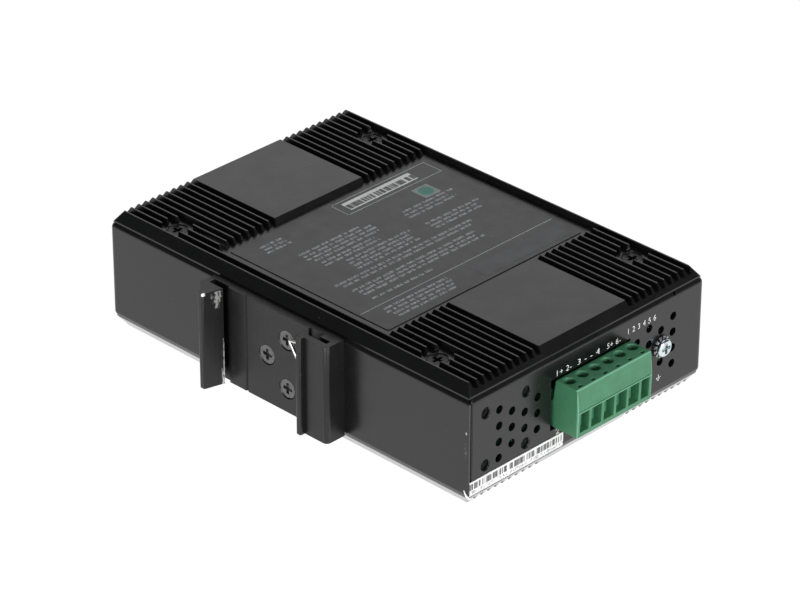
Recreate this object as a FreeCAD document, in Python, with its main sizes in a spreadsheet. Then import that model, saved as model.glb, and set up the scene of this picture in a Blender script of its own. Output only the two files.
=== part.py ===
import FreeCAD, Part
import math
import os
import Sketcher

# A slim unmanaged network switch for a 35 mm top-hat rail, lying on its ribbed side.
# X runs along the 140 mm length towards the terminal end, -Y is the rail side, +Y the port
# side and Z the 37 mm thickness. The origin is the middle of the rail seat on the clip.

SIZES = [
    ("length", 140.0, "housing along X"),
    ("depth", 94.0, "housing along Y, without the rail clip"),
    ("thickness", 37.0, "housing along Z over both covers"),
    ("rail_offset", 3.05, "housing middle from the rail centre along X"),
    ("sheet_wall", 1.0, "steel sheet of the wrap"),
    ("bend_radius", 1.7, "outer radius of the upright bends"),
    ("rim_radius", 1.5, "outer radius where the sheet turns in to the rims"),
    ("rim_width", 4.0, "width of the turned-in rims from the outer face"),
    ("tab_size", 10.0, "square tab under each cover screw"),
    ("seam_gap", 0.3, "open seam at the corner where the sheet ends meet"),
    ("notch_width", 0.6, "bend relief in the rim at the terminal end"),
    ("notch_y", 34.7, "bend relief from the middle along Y"),
    ("cover_inset", 0.84, "cover edge behind the sheet faces"),
    ("cover_edge", 0.5, "upright edge of the cover"),
    ("slope_rise", 3.0, "height of the cover's sloping sides"),
    ("slope_run", 2.09, "width of the cover's sloping sides"),
    ("fin_count", 10, "fins on each side of the flat patch, rim included"),
    ("fin_pitch", 2.687, "fin spacing"),
    ("fin_tip", 0.45, "width of a fin at its tip"),
    ("groove_depth", 1.75, "depth of the grooves, recess and screw wells"),
    ("groove_taper", 0.3, "how far each groove wall leans in"),
    ("recess_reach", 33.7, "half length of the label recess at the fin tips"),
    ("recess_slope", 0.9, "how far the fin ends lean into the recess"),
    ("screw_from_end", 19.4, "cover screws from the housing ends"),
    ("screw_from_side", 8.3, "cover screws from the housing sides"),
    ("screw_well", 4.4, "radius of the round well at each cover screw"),
    ("screw_shank", 1.45, "radius of the M3 screws"),
    ("screw_head", 1.4, "how far a countersunk head stands out past its shank"),
    ("head_sink", 0.25, "countersunk heads below their faces"),
    ("head_land", 0.1, "straight rim of a countersunk head"),
    ("screw_length", 5.2, "length of the cover screws"),
    ("shank_clear", 0.1, "radial clearance of the screw holes"),
    ("cross_reach", 1.7, "half length of the cross recess"),
    ("cross_width", 1.05, "width of the cross recess"),
    ("cross_depth", 0.9, "depth of the cross recess"),
    ("label_end_gap", 1.8, "side label short of its recess at both ends"),
    ("label_front_gap", 3.7, "side label short of its recess on the port side"),
    ("label_rear_gap", 3.2, "side label short of its recess on the rail side"),
    ("film", 0.2, "thickness of labels and films"),
    ("strip_length", 36.4, "bar code strip along Y"),
    ("strip_top", 10.0, "upper edge of the strip below the middle"),
    ("strip_wrap", 50.0, "degrees that the strip turns round the lower rim"),
    ("clip_plate", 2.4, "thickness of the rail clip's plate"),
    ("clip_width", 30.2, "rail clip along Z"),
    ("clip_start", 23.45, "end of the fixed hook from the rail centre"),
    ("clip_end", 26.95, "end of the spring hook from the rail centre"),
    ("mouth_half", 16.25, "half gap between the two hooks' lips"),
    ("hook_floor", 1.7, "height of the slot floors above the sheet"),
    ("fixed_roof", 3.8, "underside of the fixed hook above the sheet"),
    ("spring_roof", 5.0, "underside of the spring hook above the sheet"),
    ("hook_wall", 1.8, "wall of the hooks"),
    ("lip_wall", 2.2, "thickness of the lips"),
    ("fixed_lip", 10.1, "tip of the fixed hook's lip above the sheet"),
    ("fixed_lean", 1.7, "how far the fixed hook's lip leans away from the rail"),
    ("spring_lip", 8.4, "tip of the spring hook's lip above the sheet"),
    ("spring_lean", 0.4, "how far the spring hook's lip leans away from the rail"),
    ("lip_slant", 0.1, "how much lower the outer edge of the fixed lip is"),
    ("plate_start", 0.6, "raised plate short of the fixed lip"),
    ("plate_stop", 0.5, "raised plate short of the spring lip"),
    ("plate_slope", 0.25, "slope at both ends of the raised plate"),
    ("slot_step", 3.9, "raised floor in the spring hook along X"),
    ("clip_groove", 0.7, "depth of the marking groove in the plate"),
    ("groove_start", 14.2, "marking groove from the end of the fixed hook"),
    ("groove_width", 0.9, "width of the marking groove"),
    ("spring_wire", 0.45, "radius of the spring wire"),
    ("spring_seat", 1.6, "spring from the outer wall of its hook"),
    ("spring_inset", 1.2, "lower end of the spring from the clip's edge"),
    ("spring_reach", 6.4, "how far the spring stands out of its hook"),
    ("spring_bend", 9.4, "height of the spring's bend above the middle"),
    ("spring_long", 20.8, "height of the spring's long arm"),
    ("spring_short", 2.8, "height of the spring's short arm"),
    ("clip_screw_near", 0.74, "lone clip screw from the rail centre"),
    ("clip_screw_far", 7.1, "pair of clip screws from the rail centre"),
    ("clip_screw_rise", 7.65, "pair of clip screws above and below the middle"),
    ("clip_screw_length", 6.4, "length of the clip screws"),
    ("nut_radius", 2.9, "press nuts"),
    ("nut_height", 1.8, "press nuts behind the sheet"),
    ("vent_radius", 1.25, "vent holes"),
    ("vent_pitch", 4.95, "vent columns"),
    ("vent_row", 5.0, "vent rows in one column"),
    ("vent_left", 35.3, "first vent column on the rail side of the middle"),
    ("vent_right", 19.3, "first vent column on the port side of the middle"),
    ("vent_rise", 0.35, "vent pattern above the middle"),
    ("bracket_radius", 1.5, "threaded bracket holes"),
    ("bracket_y", 40.4, "outer bracket holes from the middle along Y"),
    ("bracket_span_y", 15.6, "bracket holes apart along Y"),
    ("bracket_span_z", 16.1, "bracket holes apart along Z"),
    ("bracket_rise", 0.9, "bracket holes above the middle"),
    ("ground_y", 29.2, "earth screw from the middle along Y"),
    ("ground_head", 2.68, "earth screw head radius"),
    ("ground_head_height", 1.5, "earth screw head height"),
    ("washer_radius", 3.3, "tooth washer outer radius"),
    ("washer_height", 0.7, "tooth washer thickness"),
    ("washer_teeth", 12, "teeth of the washer"),
    ("tooth_length", 1.1, "length of the washer's teeth"),
    ("pole_count", 6, "poles of the terminal plug"),
    ("pole_pitch", 5.0, "pole spacing"),
    ("plug_y", 1.4, "plug middle along Y"),
    ("plug_front", 8.3, "plug front ahead of the sheet"),
    ("plug_top", 7.6, "plug top above the middle"),
    ("plug_bottom", 7.2, "plug underside below the middle"),
    ("plug_trim", 0.35, "how much shorter the plug is than its poles on the port side"),
    ("plug_heel", 0.3, "rear top edge of the plug ahead of the sheet face"),
    ("plug_lean", 1.0, "how far the plug's rear leans in towards its shoulder"),
    ("front_lean", 0.35, "top of the plug's front behind its foot"),
    ("front_edge", 0.3, "broken edge at the top of the front"),
    ("crease_out", 0.3, "how far the crease stands out of the front"),
    ("crease_rise", 1.0, "crease above the middle"),
    ("crease_depth", 0.2, "depth of the crease"),
    ("end_wall", 1.0, "walls beside the outermost wire entries"),
    ("plug_shoulder", 1.45, "plug's rear shoulder behind the sheet face"),
    ("shoulder_top", 0.9, "top of the shoulder above the middle"),
    ("plug_block", 9.5, "plug's inner end behind the sheet face"),
    ("block_top", 2.7, "top of the plug's inner block"),
    ("block_bottom", 4.3, "underside of the plug's inner block"),
    ("block_half", 14.2, "half width of the plug's inner block"),
    ("plug_gap", 0.15, "plug block in its header"),
    ("mouth_gap", 0.5, "plug in the sheet's opening"),
    ("mouth_room", 1.6, "plug in the sheet's opening on the rail side"),
    ("screw_axis", 2.9, "clamp screws ahead of the sheet face"),
    ("well_radius", 1.75, "screw wells in the plug"),
    ("clamp_head", 1.62, "clamp screw head radius"),
    ("slot_gap", 1.15, "test slots behind the plug's front"),
    ("slot_width", 0.95, "test slots along X"),
    ("slot_length", 1.6, "test slots along Y"),
    ("slot_depth", 2.5, "depth of the test slots"),
    ("clamp_head_height", 1.15, "clamp screw head height"),
    ("clamp_slot", 0.5, "slot width in the clamp screw heads"),
    ("clamp_seat", 4.6, "underside of the clamp screw heads"),
    ("seat_web", 0.6, "moulding under the clamp screw heads"),
    ("clamp_shank", 1.2, "clamp screw shank radius"),
    ("thread_gap", 0.06, "clamp screw in its cage"),
    ("cage_length", 3.8, "cage clamp along X"),
    ("cage_half", 1.75, "half width of the cage clamp"),
    ("cage_wall", 0.5, "side walls of the cage clamp"),
    ("cage_floor", 0.75, "floor and top of the cage clamp"),
    ("cage_room", 3.4, "clear height inside the cage clamp"),
    ("cage_gap", 0.1, "cage in its chamber"),
    ("window_half", 2.0, "half width of a wire entry"),
    ("window_top", 0.2, "top of the wire entries"),
    ("window_bottom", 5.8, "floor of the wire entries below the middle"),
    ("window_depth", 2.6, "depth of the wide part of a wire entry"),
    ("contact_half", 1.05, "half width of a plug contact"),
    ("contact_inset", 0.6, "contacts short of the plug's inner end"),
    ("contact_thick", 0.7, "thickness of a plug contact"),
    ("contact_low", 0.25, "underside of the contact strip below the middle"),
    ("pin_size", 1.0, "square header pins"),
    ("pin_gap", 0.05, "pins in their contacts and holes"),
    ("pin_tip", 3.5, "pin tips behind the sheet face"),
    ("pin_tail", 2.4, "pin tails below the board"),
    ("header_face", 1.7, "header front behind the sheet face"),
    ("header_back", 13.5, "header back behind the sheet face"),
    ("header_cavity", 8.3, "depth of the header's cavity"),
    ("header_wall", 1.15, "header walls beside its cavity"),
    ("board_top", 6.2, "board's upper face below the middle"),
    ("board_thick", 1.6, "board thickness"),
    ("board_end_gap", 4.0, "board end gap at the terminal end"),
    ("board_tail_gap", 6.0, "board end gap at the far end"),
    ("board_front_gap", 1.5, "board edge behind the port face"),
    ("board_rear_gap", 6.0, "board edge ahead of the rail face"),
    ("mount_from_ends", 9.2, "standoffs from the housing ends"),
    ("mount_front", 9.0, "standoffs from the port face"),
    ("mount_rear", 11.0, "standoffs from the rail face"),
    ("standoff_radius", 2.6, "hexagon standoffs over the corners"),
    ("board_screw_head", 1.6, "height of the board screw heads"),
    ("board_screw_length", 6.0, "length of the board screws"),
    ("port_count", 5, "ports in the column"),
    ("port_pitch", 20.0, "port spacing"),
    ("port_start", 20.0, "first port from the far end"),
    ("jack_width", 15.6, "jack body along X"),
    ("jack_height", 13.0, "jack body along Z"),
    ("jack_depth", 15.5, "jack body along Y"),
    ("jack_proud", 0.2, "jack front ahead of the port face"),
    ("shield", 0.3, "jack shield sheet"),
    ("port_width", 11.8, "port opening along X"),
    ("port_height", 6.8, "port opening along Z"),
    ("port_depth", 12.0, "port opening along Y"),
    ("port_sill", 3.2, "port opening above the board"),
    ("latch_width", 6.2, "latch notch along X"),
    ("latch_height", 2.6, "latch notch along Z"),
    ("jack_clear", 0.2, "jack in the sheet's window"),
    ("lamp_width", 2.4, "port lamps along X"),
    ("lamp_height", 1.5, "port lamps along Z"),
    ("lamp_edge", 0.7, "port lamps from the edges of their jack"),
    ("wire_count", 8, "contact wires in each port"),
    ("wire_pitch", 1.02, "contact wire spacing"),
    ("wire_width", 0.4, "contact wires along X"),
    ("wire_thick", 0.5, "contact wires across their run"),
    ("wire_start", 2.2, "contact wires behind the jack front"),
    ("wire_run", 8.5, "contact wires along Y"),
    ("wire_rise", 3.0, "how far the contact wires climb"),
    ("status_start", 115.0, "first status light from the far end"),
    ("status_pitch", 4.6, "status light spacing"),
    ("status_rise", 2.4, "status lights above the board"),
    ("status_count", 3, "status lights"),
    ("pipe_radius", 1.3, "light pipe radius"),
    ("pipe_length", 8.0, "light pipes along Y"),
    ("pipe_foot", 4.5, "light pipe legs behind the port face"),
    ("chip_lamp_length", 2.0, "status lamps along X"),
    ("chip_lamp_width", 1.4, "status lamps along Y"),
    ("chip_lamp_height", 0.8, "status lamps along Z"),
    ("chip_size", 20.0, "square switch chip"),
    ("chip_height", 1.5, "switch chip along Z"),
    ("chip_x", -12.0, "switch chip from the housing's middle along X"),
    ("chip_y", -4.0, "switch chip from the housing's middle along Y"),
    ("thermal_size", 18.0, "square thermal pad"),
    ("thermal_height", 0.5, "thermal pad along Z"),
    ("sink_size", 28.0, "square heat sink"),
    ("sink_height", 10.0, "heat sink along Z"),
    ("sink_base", 2.0, "base of the heat sink"),
    ("sink_fin", 1.0, "outer fins of the heat sink"),
    ("sink_gap", 3.0, "gaps between the heat sink's fins"),
    ("sink_gaps", 6, "number of gaps in the heat sink"),
    ("can_radius", 4.0, "capacitor cans"),
    ("can_height", 11.5, "capacitor cans along Z"),
    ("can_edge", 0.5, "rounded top edge of the capacitor cans"),
    ("can_pitch", 10.0, "capacitor spacing"),
    ("can_from_end", 26.0, "capacitors from the terminal end"),
    ("choke_ring", 4.6, "radius of the choke's ring"),
    ("choke_coil", 2.2, "radius of the choke's winding"),
    ("choke_from_end", 37.0, "choke from the terminal end"),
    ("choke_y", -6.0, "choke from the housing's middle along Y"),
    ("overrun", 0.1, "how far cutting outlines run past a face"),
]

HALF_LENGTH = "sizes.length / 2"
HALF_DEPTH = "sizes.depth / 2"
COVER_HEIGHT = "(sizes.cover_edge + sizes.slope_rise)"
WRAP_HEIGHT = f"(sizes.thickness - 2 * {COVER_HEIGHT})"
TIP_HALF_LENGTH = f"({HALF_LENGTH} - sizes.cover_inset - sizes.slope_run)"
TIP_HALF_DEPTH = f"({HALF_DEPTH} - sizes.cover_inset - sizes.slope_run)"
RECESS_FRONT = f"({TIP_HALF_DEPTH} - sizes.fin_tip - sizes.groove_taper)"
RECESS_REAR = f"({RECESS_FRONT} - sizes.fin_pitch)"
SCREW_X = f"({HALF_LENGTH} - sizes.screw_from_end)"
SCREW_Y = f"({HALF_DEPTH} - sizes.screw_from_side)"
PIN_HIGH = "(sizes.contact_low + sizes.pin_gap)"
PIN_LOW = f"({PIN_HIGH} + sizes.pin_size)"
PORT_X = "(sizes.port_start - sizes.length / 2)"
JACK_FRONT = f"({HALF_DEPTH} + sizes.jack_proud)"
LAMP_REACH = "(sizes.jack_width / 2 - sizes.lamp_edge - sizes.lamp_width / 2)"
LAMP_TOP = "(sizes.jack_height - sizes.lamp_edge)"
BOARD_LEVEL = "-sizes.board_top"
COUNTERSINK = "(sizes.screw_head + sizes.head_sink)"
TINY = 0.001

doc = FreeCAD.newDocument("rail_switch")
sheet = doc.addObject("Spreadsheet::Sheet", "sizes")
for row, (alias, value, note) in enumerate(SIZES, start=1):
    sheet.set(f"A{row}", str(value))
    sheet.setAlias(f"A{row}", alias)
    sheet.set(f"B{row}", note)
doc.recompute()

sub_parts = []


def size(alias):
    """Value of one cell of the sheet."""
    return float(sheet.get(alias))


def seat(item, x="0", y="0", z="0"):
    """Places a piece from the middle of the housing."""
    item.setExpression("Placement.Base.x", f"sizes.rail_offset + {x}")
    item.setExpression("Placement.Base.y", f"sizes.clip_plate + sizes.depth / 2 + {y}")
    item.setExpression("Placement.Base.z", z)


def named(item, name):
    """Lists a piece under its own name."""
    item.Label = name
    sub_parts.append(item)
    return item


def new_body(name):
    return doc.addObject("PartDesign::Body", name)


def new_sketch(body, name, plane, lift="0"):
    """Sketch on one of the body's own planes, lifted along the plane's normal."""
    origin_plane = [item for item in body.Origin.OriginFeatures if item.Role == plane][0]
    sketch = body.newObject("Sketcher::SketchObject", name)
    sketch.AttachmentSupport = [(origin_plane, "")]
    sketch.MapMode = "FlatFace"
    sketch.setExpression("AttachmentOffset.Base.z", lift)
    return sketch


def outline(sketch, corners):
    """Closed outline through corners given as pairs of expressions."""
    count = len(corners)
    first = sketch.GeometryCount
    points = []
    for index in range(count):
        turn = 2 * math.pi * index / count
        points.append(FreeCAD.Vector(math.cos(turn), math.sin(turn), 0))
    lines = [Part.LineSegment(points[i], points[(i + 1) % count]) for i in range(count)]
    sketch.addGeometry(lines)
    joins = []
    for index in range(count):
        following = first + (index + 1) % count
        joins.append(Sketcher.Constraint("Coincident", first + index, 2, following, 1))
    sketch.addConstraint(joins)
    for index, (along, across) in enumerate(corners):
        line = first + index
        place = sketch.addConstraint(Sketcher.Constraint("DistanceX", line, 1, points[index].x))
        sketch.setExpression(f"Constraints[{place}]", along)
        place = sketch.addConstraint(Sketcher.Constraint("DistanceY", line, 1, points[index].y))
        sketch.setExpression(f"Constraints[{place}]", across)


def rectangle(sketch, left, right, bottom, top):
    outline(sketch, [(left, bottom), (right, bottom), (right, top), (left, top)])


def disc(sketch, along, across, radius):
    """Circle whose middle and radius are expressions."""
    circle = Part.Circle(FreeCAD.Vector(1, 1, 0), FreeCAD.Vector(0, 0, 1), 1)
    index = sketch.addGeometry(circle)
    place = sketch.addConstraint(Sketcher.Constraint("DistanceX", index, 3, 1))
    sketch.setExpression(f"Constraints[{place}]", along)
    place = sketch.addConstraint(Sketcher.Constraint("DistanceY", index, 3, 1))
    sketch.setExpression(f"Constraints[{place}]", across)
    place = sketch.addConstraint(Sketcher.Constraint("Radius", index, 1))
    sketch.setExpression(f"Constraints[{place}]", radius)


def pad(body, name, sketch, length, side="One side", back=False):
    feature = body.newObject("PartDesign::Pad", name)
    feature.Profile = sketch
    feature.setExpression("Length", length)
    feature.SideType = side
    feature.Reversed = back
    return feature


def pocket(body, name, sketch, length=None, side="One side", back=False):
    """Cut from a sketch: right through where no length is given."""
    feature = body.newObject("PartDesign::Pocket", name)
    feature.Profile = sketch
    feature.SideType = side
    feature.Reversed = back
    if length is None:
        feature.Type = "ThroughAll"
    else:
        feature.setExpression("Length", length)
    doc.recompute()
    return feature


def revolve(body, name, sketch):
    feature = body.newObject("PartDesign::Revolution", name)
    feature.Profile = sketch
    feature.ReferenceAxis = (sketch, ["V_Axis"])
    feature.Angle = 360
    return feature


def edge_names(feature, wanted):
    """Names of a feature's edges that pass a test."""
    doc.recompute()
    return [f"Edge{i}" for i, edge in enumerate(feature.Shape.Edges, start=1) if wanted(edge)]


def fillet(body, name, base, wanted, radius):
    edges = edge_names(base, wanted)
    feature = body.newObject("PartDesign::Fillet", name)
    feature.Base = (base, edges)
    feature.setExpression("Radius", radius)
    return feature


def chamfer(body, name, base, wanted, reach):
    edges = edge_names(base, wanted)
    feature = body.newObject("PartDesign::Chamfer", name)
    feature.Base = (base, edges)
    feature.setExpression("Size", reach)
    return feature


def upright(edge, axis="z"):
    """True for a straight edge along the given axis."""
    box = edge.BoundBox
    spans = {"x": box.XLength, "y": box.YLength, "z": box.ZLength}
    long_way = spans.pop(axis)
    return long_way > TINY and max(spans.values()) < TINY


def is_circle(edge, radius):
    curve = edge.Curve
    return isinstance(curve, Part.Circle) and abs(curve.Radius - radius) < TINY


def near(value, target):
    return abs(value - target) < 10 * TINY


def copies(name, master, places):
    """One piece repeated: places are triples of expressions from the housing's middle."""
    links = []
    for index, (x, y, z) in enumerate(places, start=1):
        link = doc.addObject("App::Link", f"{name}_{index}")
        link.LinkedObject = master
        link.LinkTransform = True
        seat(link, x, y, z)
        links.append(link)
    group = doc.addObject("Part::Compound", name)
    group.Links = links
    return named(group, name)


def block(name, length, width, height):
    """Plain block standing on its own middle point."""
    body = new_body(name)
    plan = new_sketch(body, f"{name}_plan", "XY_Plane")
    rectangle(plan, f"-({length}) / 2", f"({length}) / 2", f"-({width}) / 2", f"({width}) / 2")
    pad(body, f"{name}_solid", plan, f"{height}")
    return body


def pole_y(index):
    """Middle of one pole along Y, from the plug's own middle."""
    return f"({index} - (sizes.pole_count - 1) / 2) * sizes.pole_pitch"


POLES = range(int(size("pole_count")))
PORTS = range(int(size("port_count")))
LIGHTS = range(int(size("status_count")))


# Wrap: one steel sheet bent round the four narrow sides, with rims turned in for the covers
def chassis_wrap():
    body = new_body("chassis_wrap")
    seat(body)
    plan = new_sketch(body, "wrap_plan", "XY_Plane")
    rectangle(plan, f"-{HALF_LENGTH}", HALF_LENGTH, f"-{HALF_DEPTH}", HALF_DEPTH)
    shell = pad(body, "wrap_block", plan, WRAP_HEIGHT, "Symmetric")

    def bent_corner(edge):
        middle = edge.BoundBox.Center
        return upright(edge) and not (middle.x > 0 and middle.y < 0)

    bends = fillet(body, "wrap_bends", shell, bent_corner, "sizes.bend_radius")
    half_height = size("thickness") / 2 - size("cover_edge") - size("slope_rise")

    def rim_edge(edge):
        box = edge.BoundBox
        return box.ZLength < TINY and near(abs(box.Center.z), half_height)

    rims = fillet(body, "wrap_rims", bends, rim_edge, "sizes.rim_radius")
    inner = new_sketch(body, "wrap_inside", "XY_Plane")
    inner_x = f"({HALF_LENGTH} - sizes.sheet_wall)"
    inner_y = f"({HALF_DEPTH} - sizes.sheet_wall)"
    rectangle(inner, f"-{inner_x}", inner_x, f"-{inner_y}", inner_y)
    pocket(body, "wrap_hollow", inner, f"{WRAP_HEIGHT} - 2 * sizes.sheet_wall", "Symmetric")

    # Opening inside the rims, which leaves a square tab under each cover screw
    opening = new_sketch(body, "wrap_opening", "XY_Plane")
    tab_near = f"({SCREW_X} - sizes.tab_size / 2)"
    tab_far = f"({SCREW_X} + sizes.tab_size / 2)"
    tab_in = f"({SCREW_Y} - sizes.tab_size / 2)"
    edge_y = f"({HALF_DEPTH} - sizes.rim_width)"
    edge_x = f"({HALF_LENGTH} - sizes.rim_width)"
    quarter = [(edge_x, edge_y), (tab_far, edge_y), (tab_far, tab_in), (tab_near, tab_in),
               (tab_near, edge_y)]
    corners = []
    corners += quarter
    corners += [(f"-{x}", y) for x, y in reversed(quarter)]
    corners += [(f"-{x}", f"-{y}") for x, y in quarter]
    corners += [(x, f"-{y}") for x, y in reversed(quarter)]
    outline(opening, corners)
    pocket(body, "wrap_through", opening, None, "Symmetric")

    # The seam: the rail side's sheet end, and a mitre that frees the corner of the rims
    seam = new_sketch(body, "wrap_seam", "XY_Plane")
    slit_low = f"(-{HALF_DEPTH} + sizes.sheet_wall)"
    slit_high = f"({slit_low} + sizes.seam_gap)"
    mitre = f"({edge_x} - sizes.seam_gap)"
    rim_in = f"(-{edge_y} + sizes.overrun)"
    beyond = f"({HALF_LENGTH} + sizes.overrun)"
    outline(seam, [(mitre, slit_low), (beyond, slit_low), (beyond, slit_high),
                   (edge_x, slit_high), (edge_x, rim_in), (mitre, rim_in)])
    pocket(body, "wrap_slit", seam, None, "Symmetric")

    notch = new_sketch(body, "wrap_notch", "XY_Plane", f"{WRAP_HEIGHT} / 2")
    notch_low = "(sizes.notch_y - sizes.notch_width / 2)"
    notch_high = "(sizes.notch_y + sizes.notch_width / 2)"
    rectangle(notch, f"{HALF_LENGTH} - sizes.sheet_wall - sizes.overrun", beyond, notch_low, notch_high)
    pocket(body, "wrap_relief", notch, "sizes.sheet_wall")

    tabs = new_sketch(body, "wrap_tabs", "XY_Plane")
    for x in (SCREW_X, f"-{SCREW_X}"):
        for y in (SCREW_Y, f"-{SCREW_Y}"):
            disc(tabs, x, y, "sizes.screw_shank + sizes.shank_clear")
    pocket(body, "wrap_tab_holes", tabs, None, "Symmetric")

    terminal_end_openings(body)
    port_side_openings(body)
    rail = new_sketch(body, "wrap_rail_holes", "XZ_Plane", HALF_DEPTH)
    for x, z in clip_screw_places():
        disc(rail, x, z, "sizes.screw_shank + sizes.shank_clear")
    pocket(body, "wrap_rail_cut", rail, "2 * sizes.sheet_wall")
    return named(body, "chassis_wrap")


def vent_places():
    """Vents stand in staggered columns and leave room for the brackets and the earth screw."""
    wide = [-1.5, -0.5, 0.5, 1.5]
    narrow = [-1, 0, 1]
    left = [wide, narrow, [-0.5, 0.5], narrow]
    right = [narrow, wide, [-1, 1], wide]
    places = []
    for column, rows in enumerate(left):
        places += [(f"-sizes.vent_left + {column} * sizes.vent_pitch", row) for row in rows]
    for column, rows in enumerate(right):
        places += [(f"sizes.vent_right + {column} * sizes.vent_pitch", row) for row in rows]
    return [(y, f"sizes.vent_rise + {row} * sizes.vent_row") for y, row in places]


def bracket_places():
    places = []
    for y in ("-sizes.bracket_y", "(-sizes.bracket_y + sizes.bracket_span_y)"):
        for sign in ("+", "-"):
            places.append((y, f"(sizes.bracket_rise {sign} sizes.bracket_span_z / 2)"))
    return places


def terminal_end_openings(body):
    vents = new_sketch(body, "wrap_vents", "YZ_Plane", HALF_LENGTH)
    for y, z in vent_places():
        disc(vents, y, z, "sizes.vent_radius")
    pocket(body, "wrap_vent_cut", vents, "2 * sizes.sheet_wall")
    brackets = new_sketch(body, "wrap_brackets", "YZ_Plane", HALF_LENGTH)
    for y, z in bracket_places():
        disc(brackets, y, z, "sizes.bracket_radius")
    disc(brackets, "sizes.ground_y", "sizes.vent_rise", "sizes.screw_shank + sizes.shank_clear")
    cut = pocket(body, "wrap_bracket_cut", brackets, "2 * sizes.sheet_wall")

    # The bracket holes have a broken outer edge
    def hole_rim(edge):
        at_face = near(edge.BoundBox.XMax, size("length") / 2)
        return at_face and is_circle(edge, size("bracket_radius"))

    chamfer(body, "wrap_bracket_edges", cut, hole_rim, "sizes.sheet_wall / 3")
    mouth = new_sketch(body, "wrap_mouth", "YZ_Plane", HALF_LENGTH)
    half = "(sizes.pole_count * sizes.pole_pitch / 2)"
    rectangle(mouth, f"sizes.plug_y - {half} - sizes.mouth_room",
              f"sizes.plug_y + {half} + sizes.mouth_gap - sizes.plug_trim",
              "-sizes.plug_bottom - sizes.mouth_gap", "sizes.plug_top + sizes.mouth_gap")
    pocket(body, "wrap_mouth_cut", mouth, "2 * sizes.sheet_wall")


def port_x(index):
    return f"({PORT_X} + {index} * sizes.port_pitch)"


def port_side_openings(body):
    ports = new_sketch(body, "wrap_ports", "XZ_Plane", f"-{HALF_DEPTH}")
    half = "(sizes.jack_width / 2 + sizes.shield + sizes.jack_clear)"
    for index in PORTS:
        rectangle(ports, f"{port_x(index)} - {half}", f"{port_x(index)} + {half}",
                  f"{BOARD_LEVEL} - sizes.jack_clear",
                  f"{BOARD_LEVEL} + sizes.jack_height + sizes.shield + sizes.jack_clear")
    for index in LIGHTS:
        disc(ports, status_x(index), f"{BOARD_LEVEL} + sizes.status_rise",
             "sizes.pipe_radius + sizes.jack_clear")
    pocket(body, "wrap_port_cut", ports, "2 * sizes.sheet_wall", "One side", True)


def status_x(index):
    return f"(sizes.status_start - sizes.length / 2 + {index} * sizes.status_pitch)"


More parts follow.
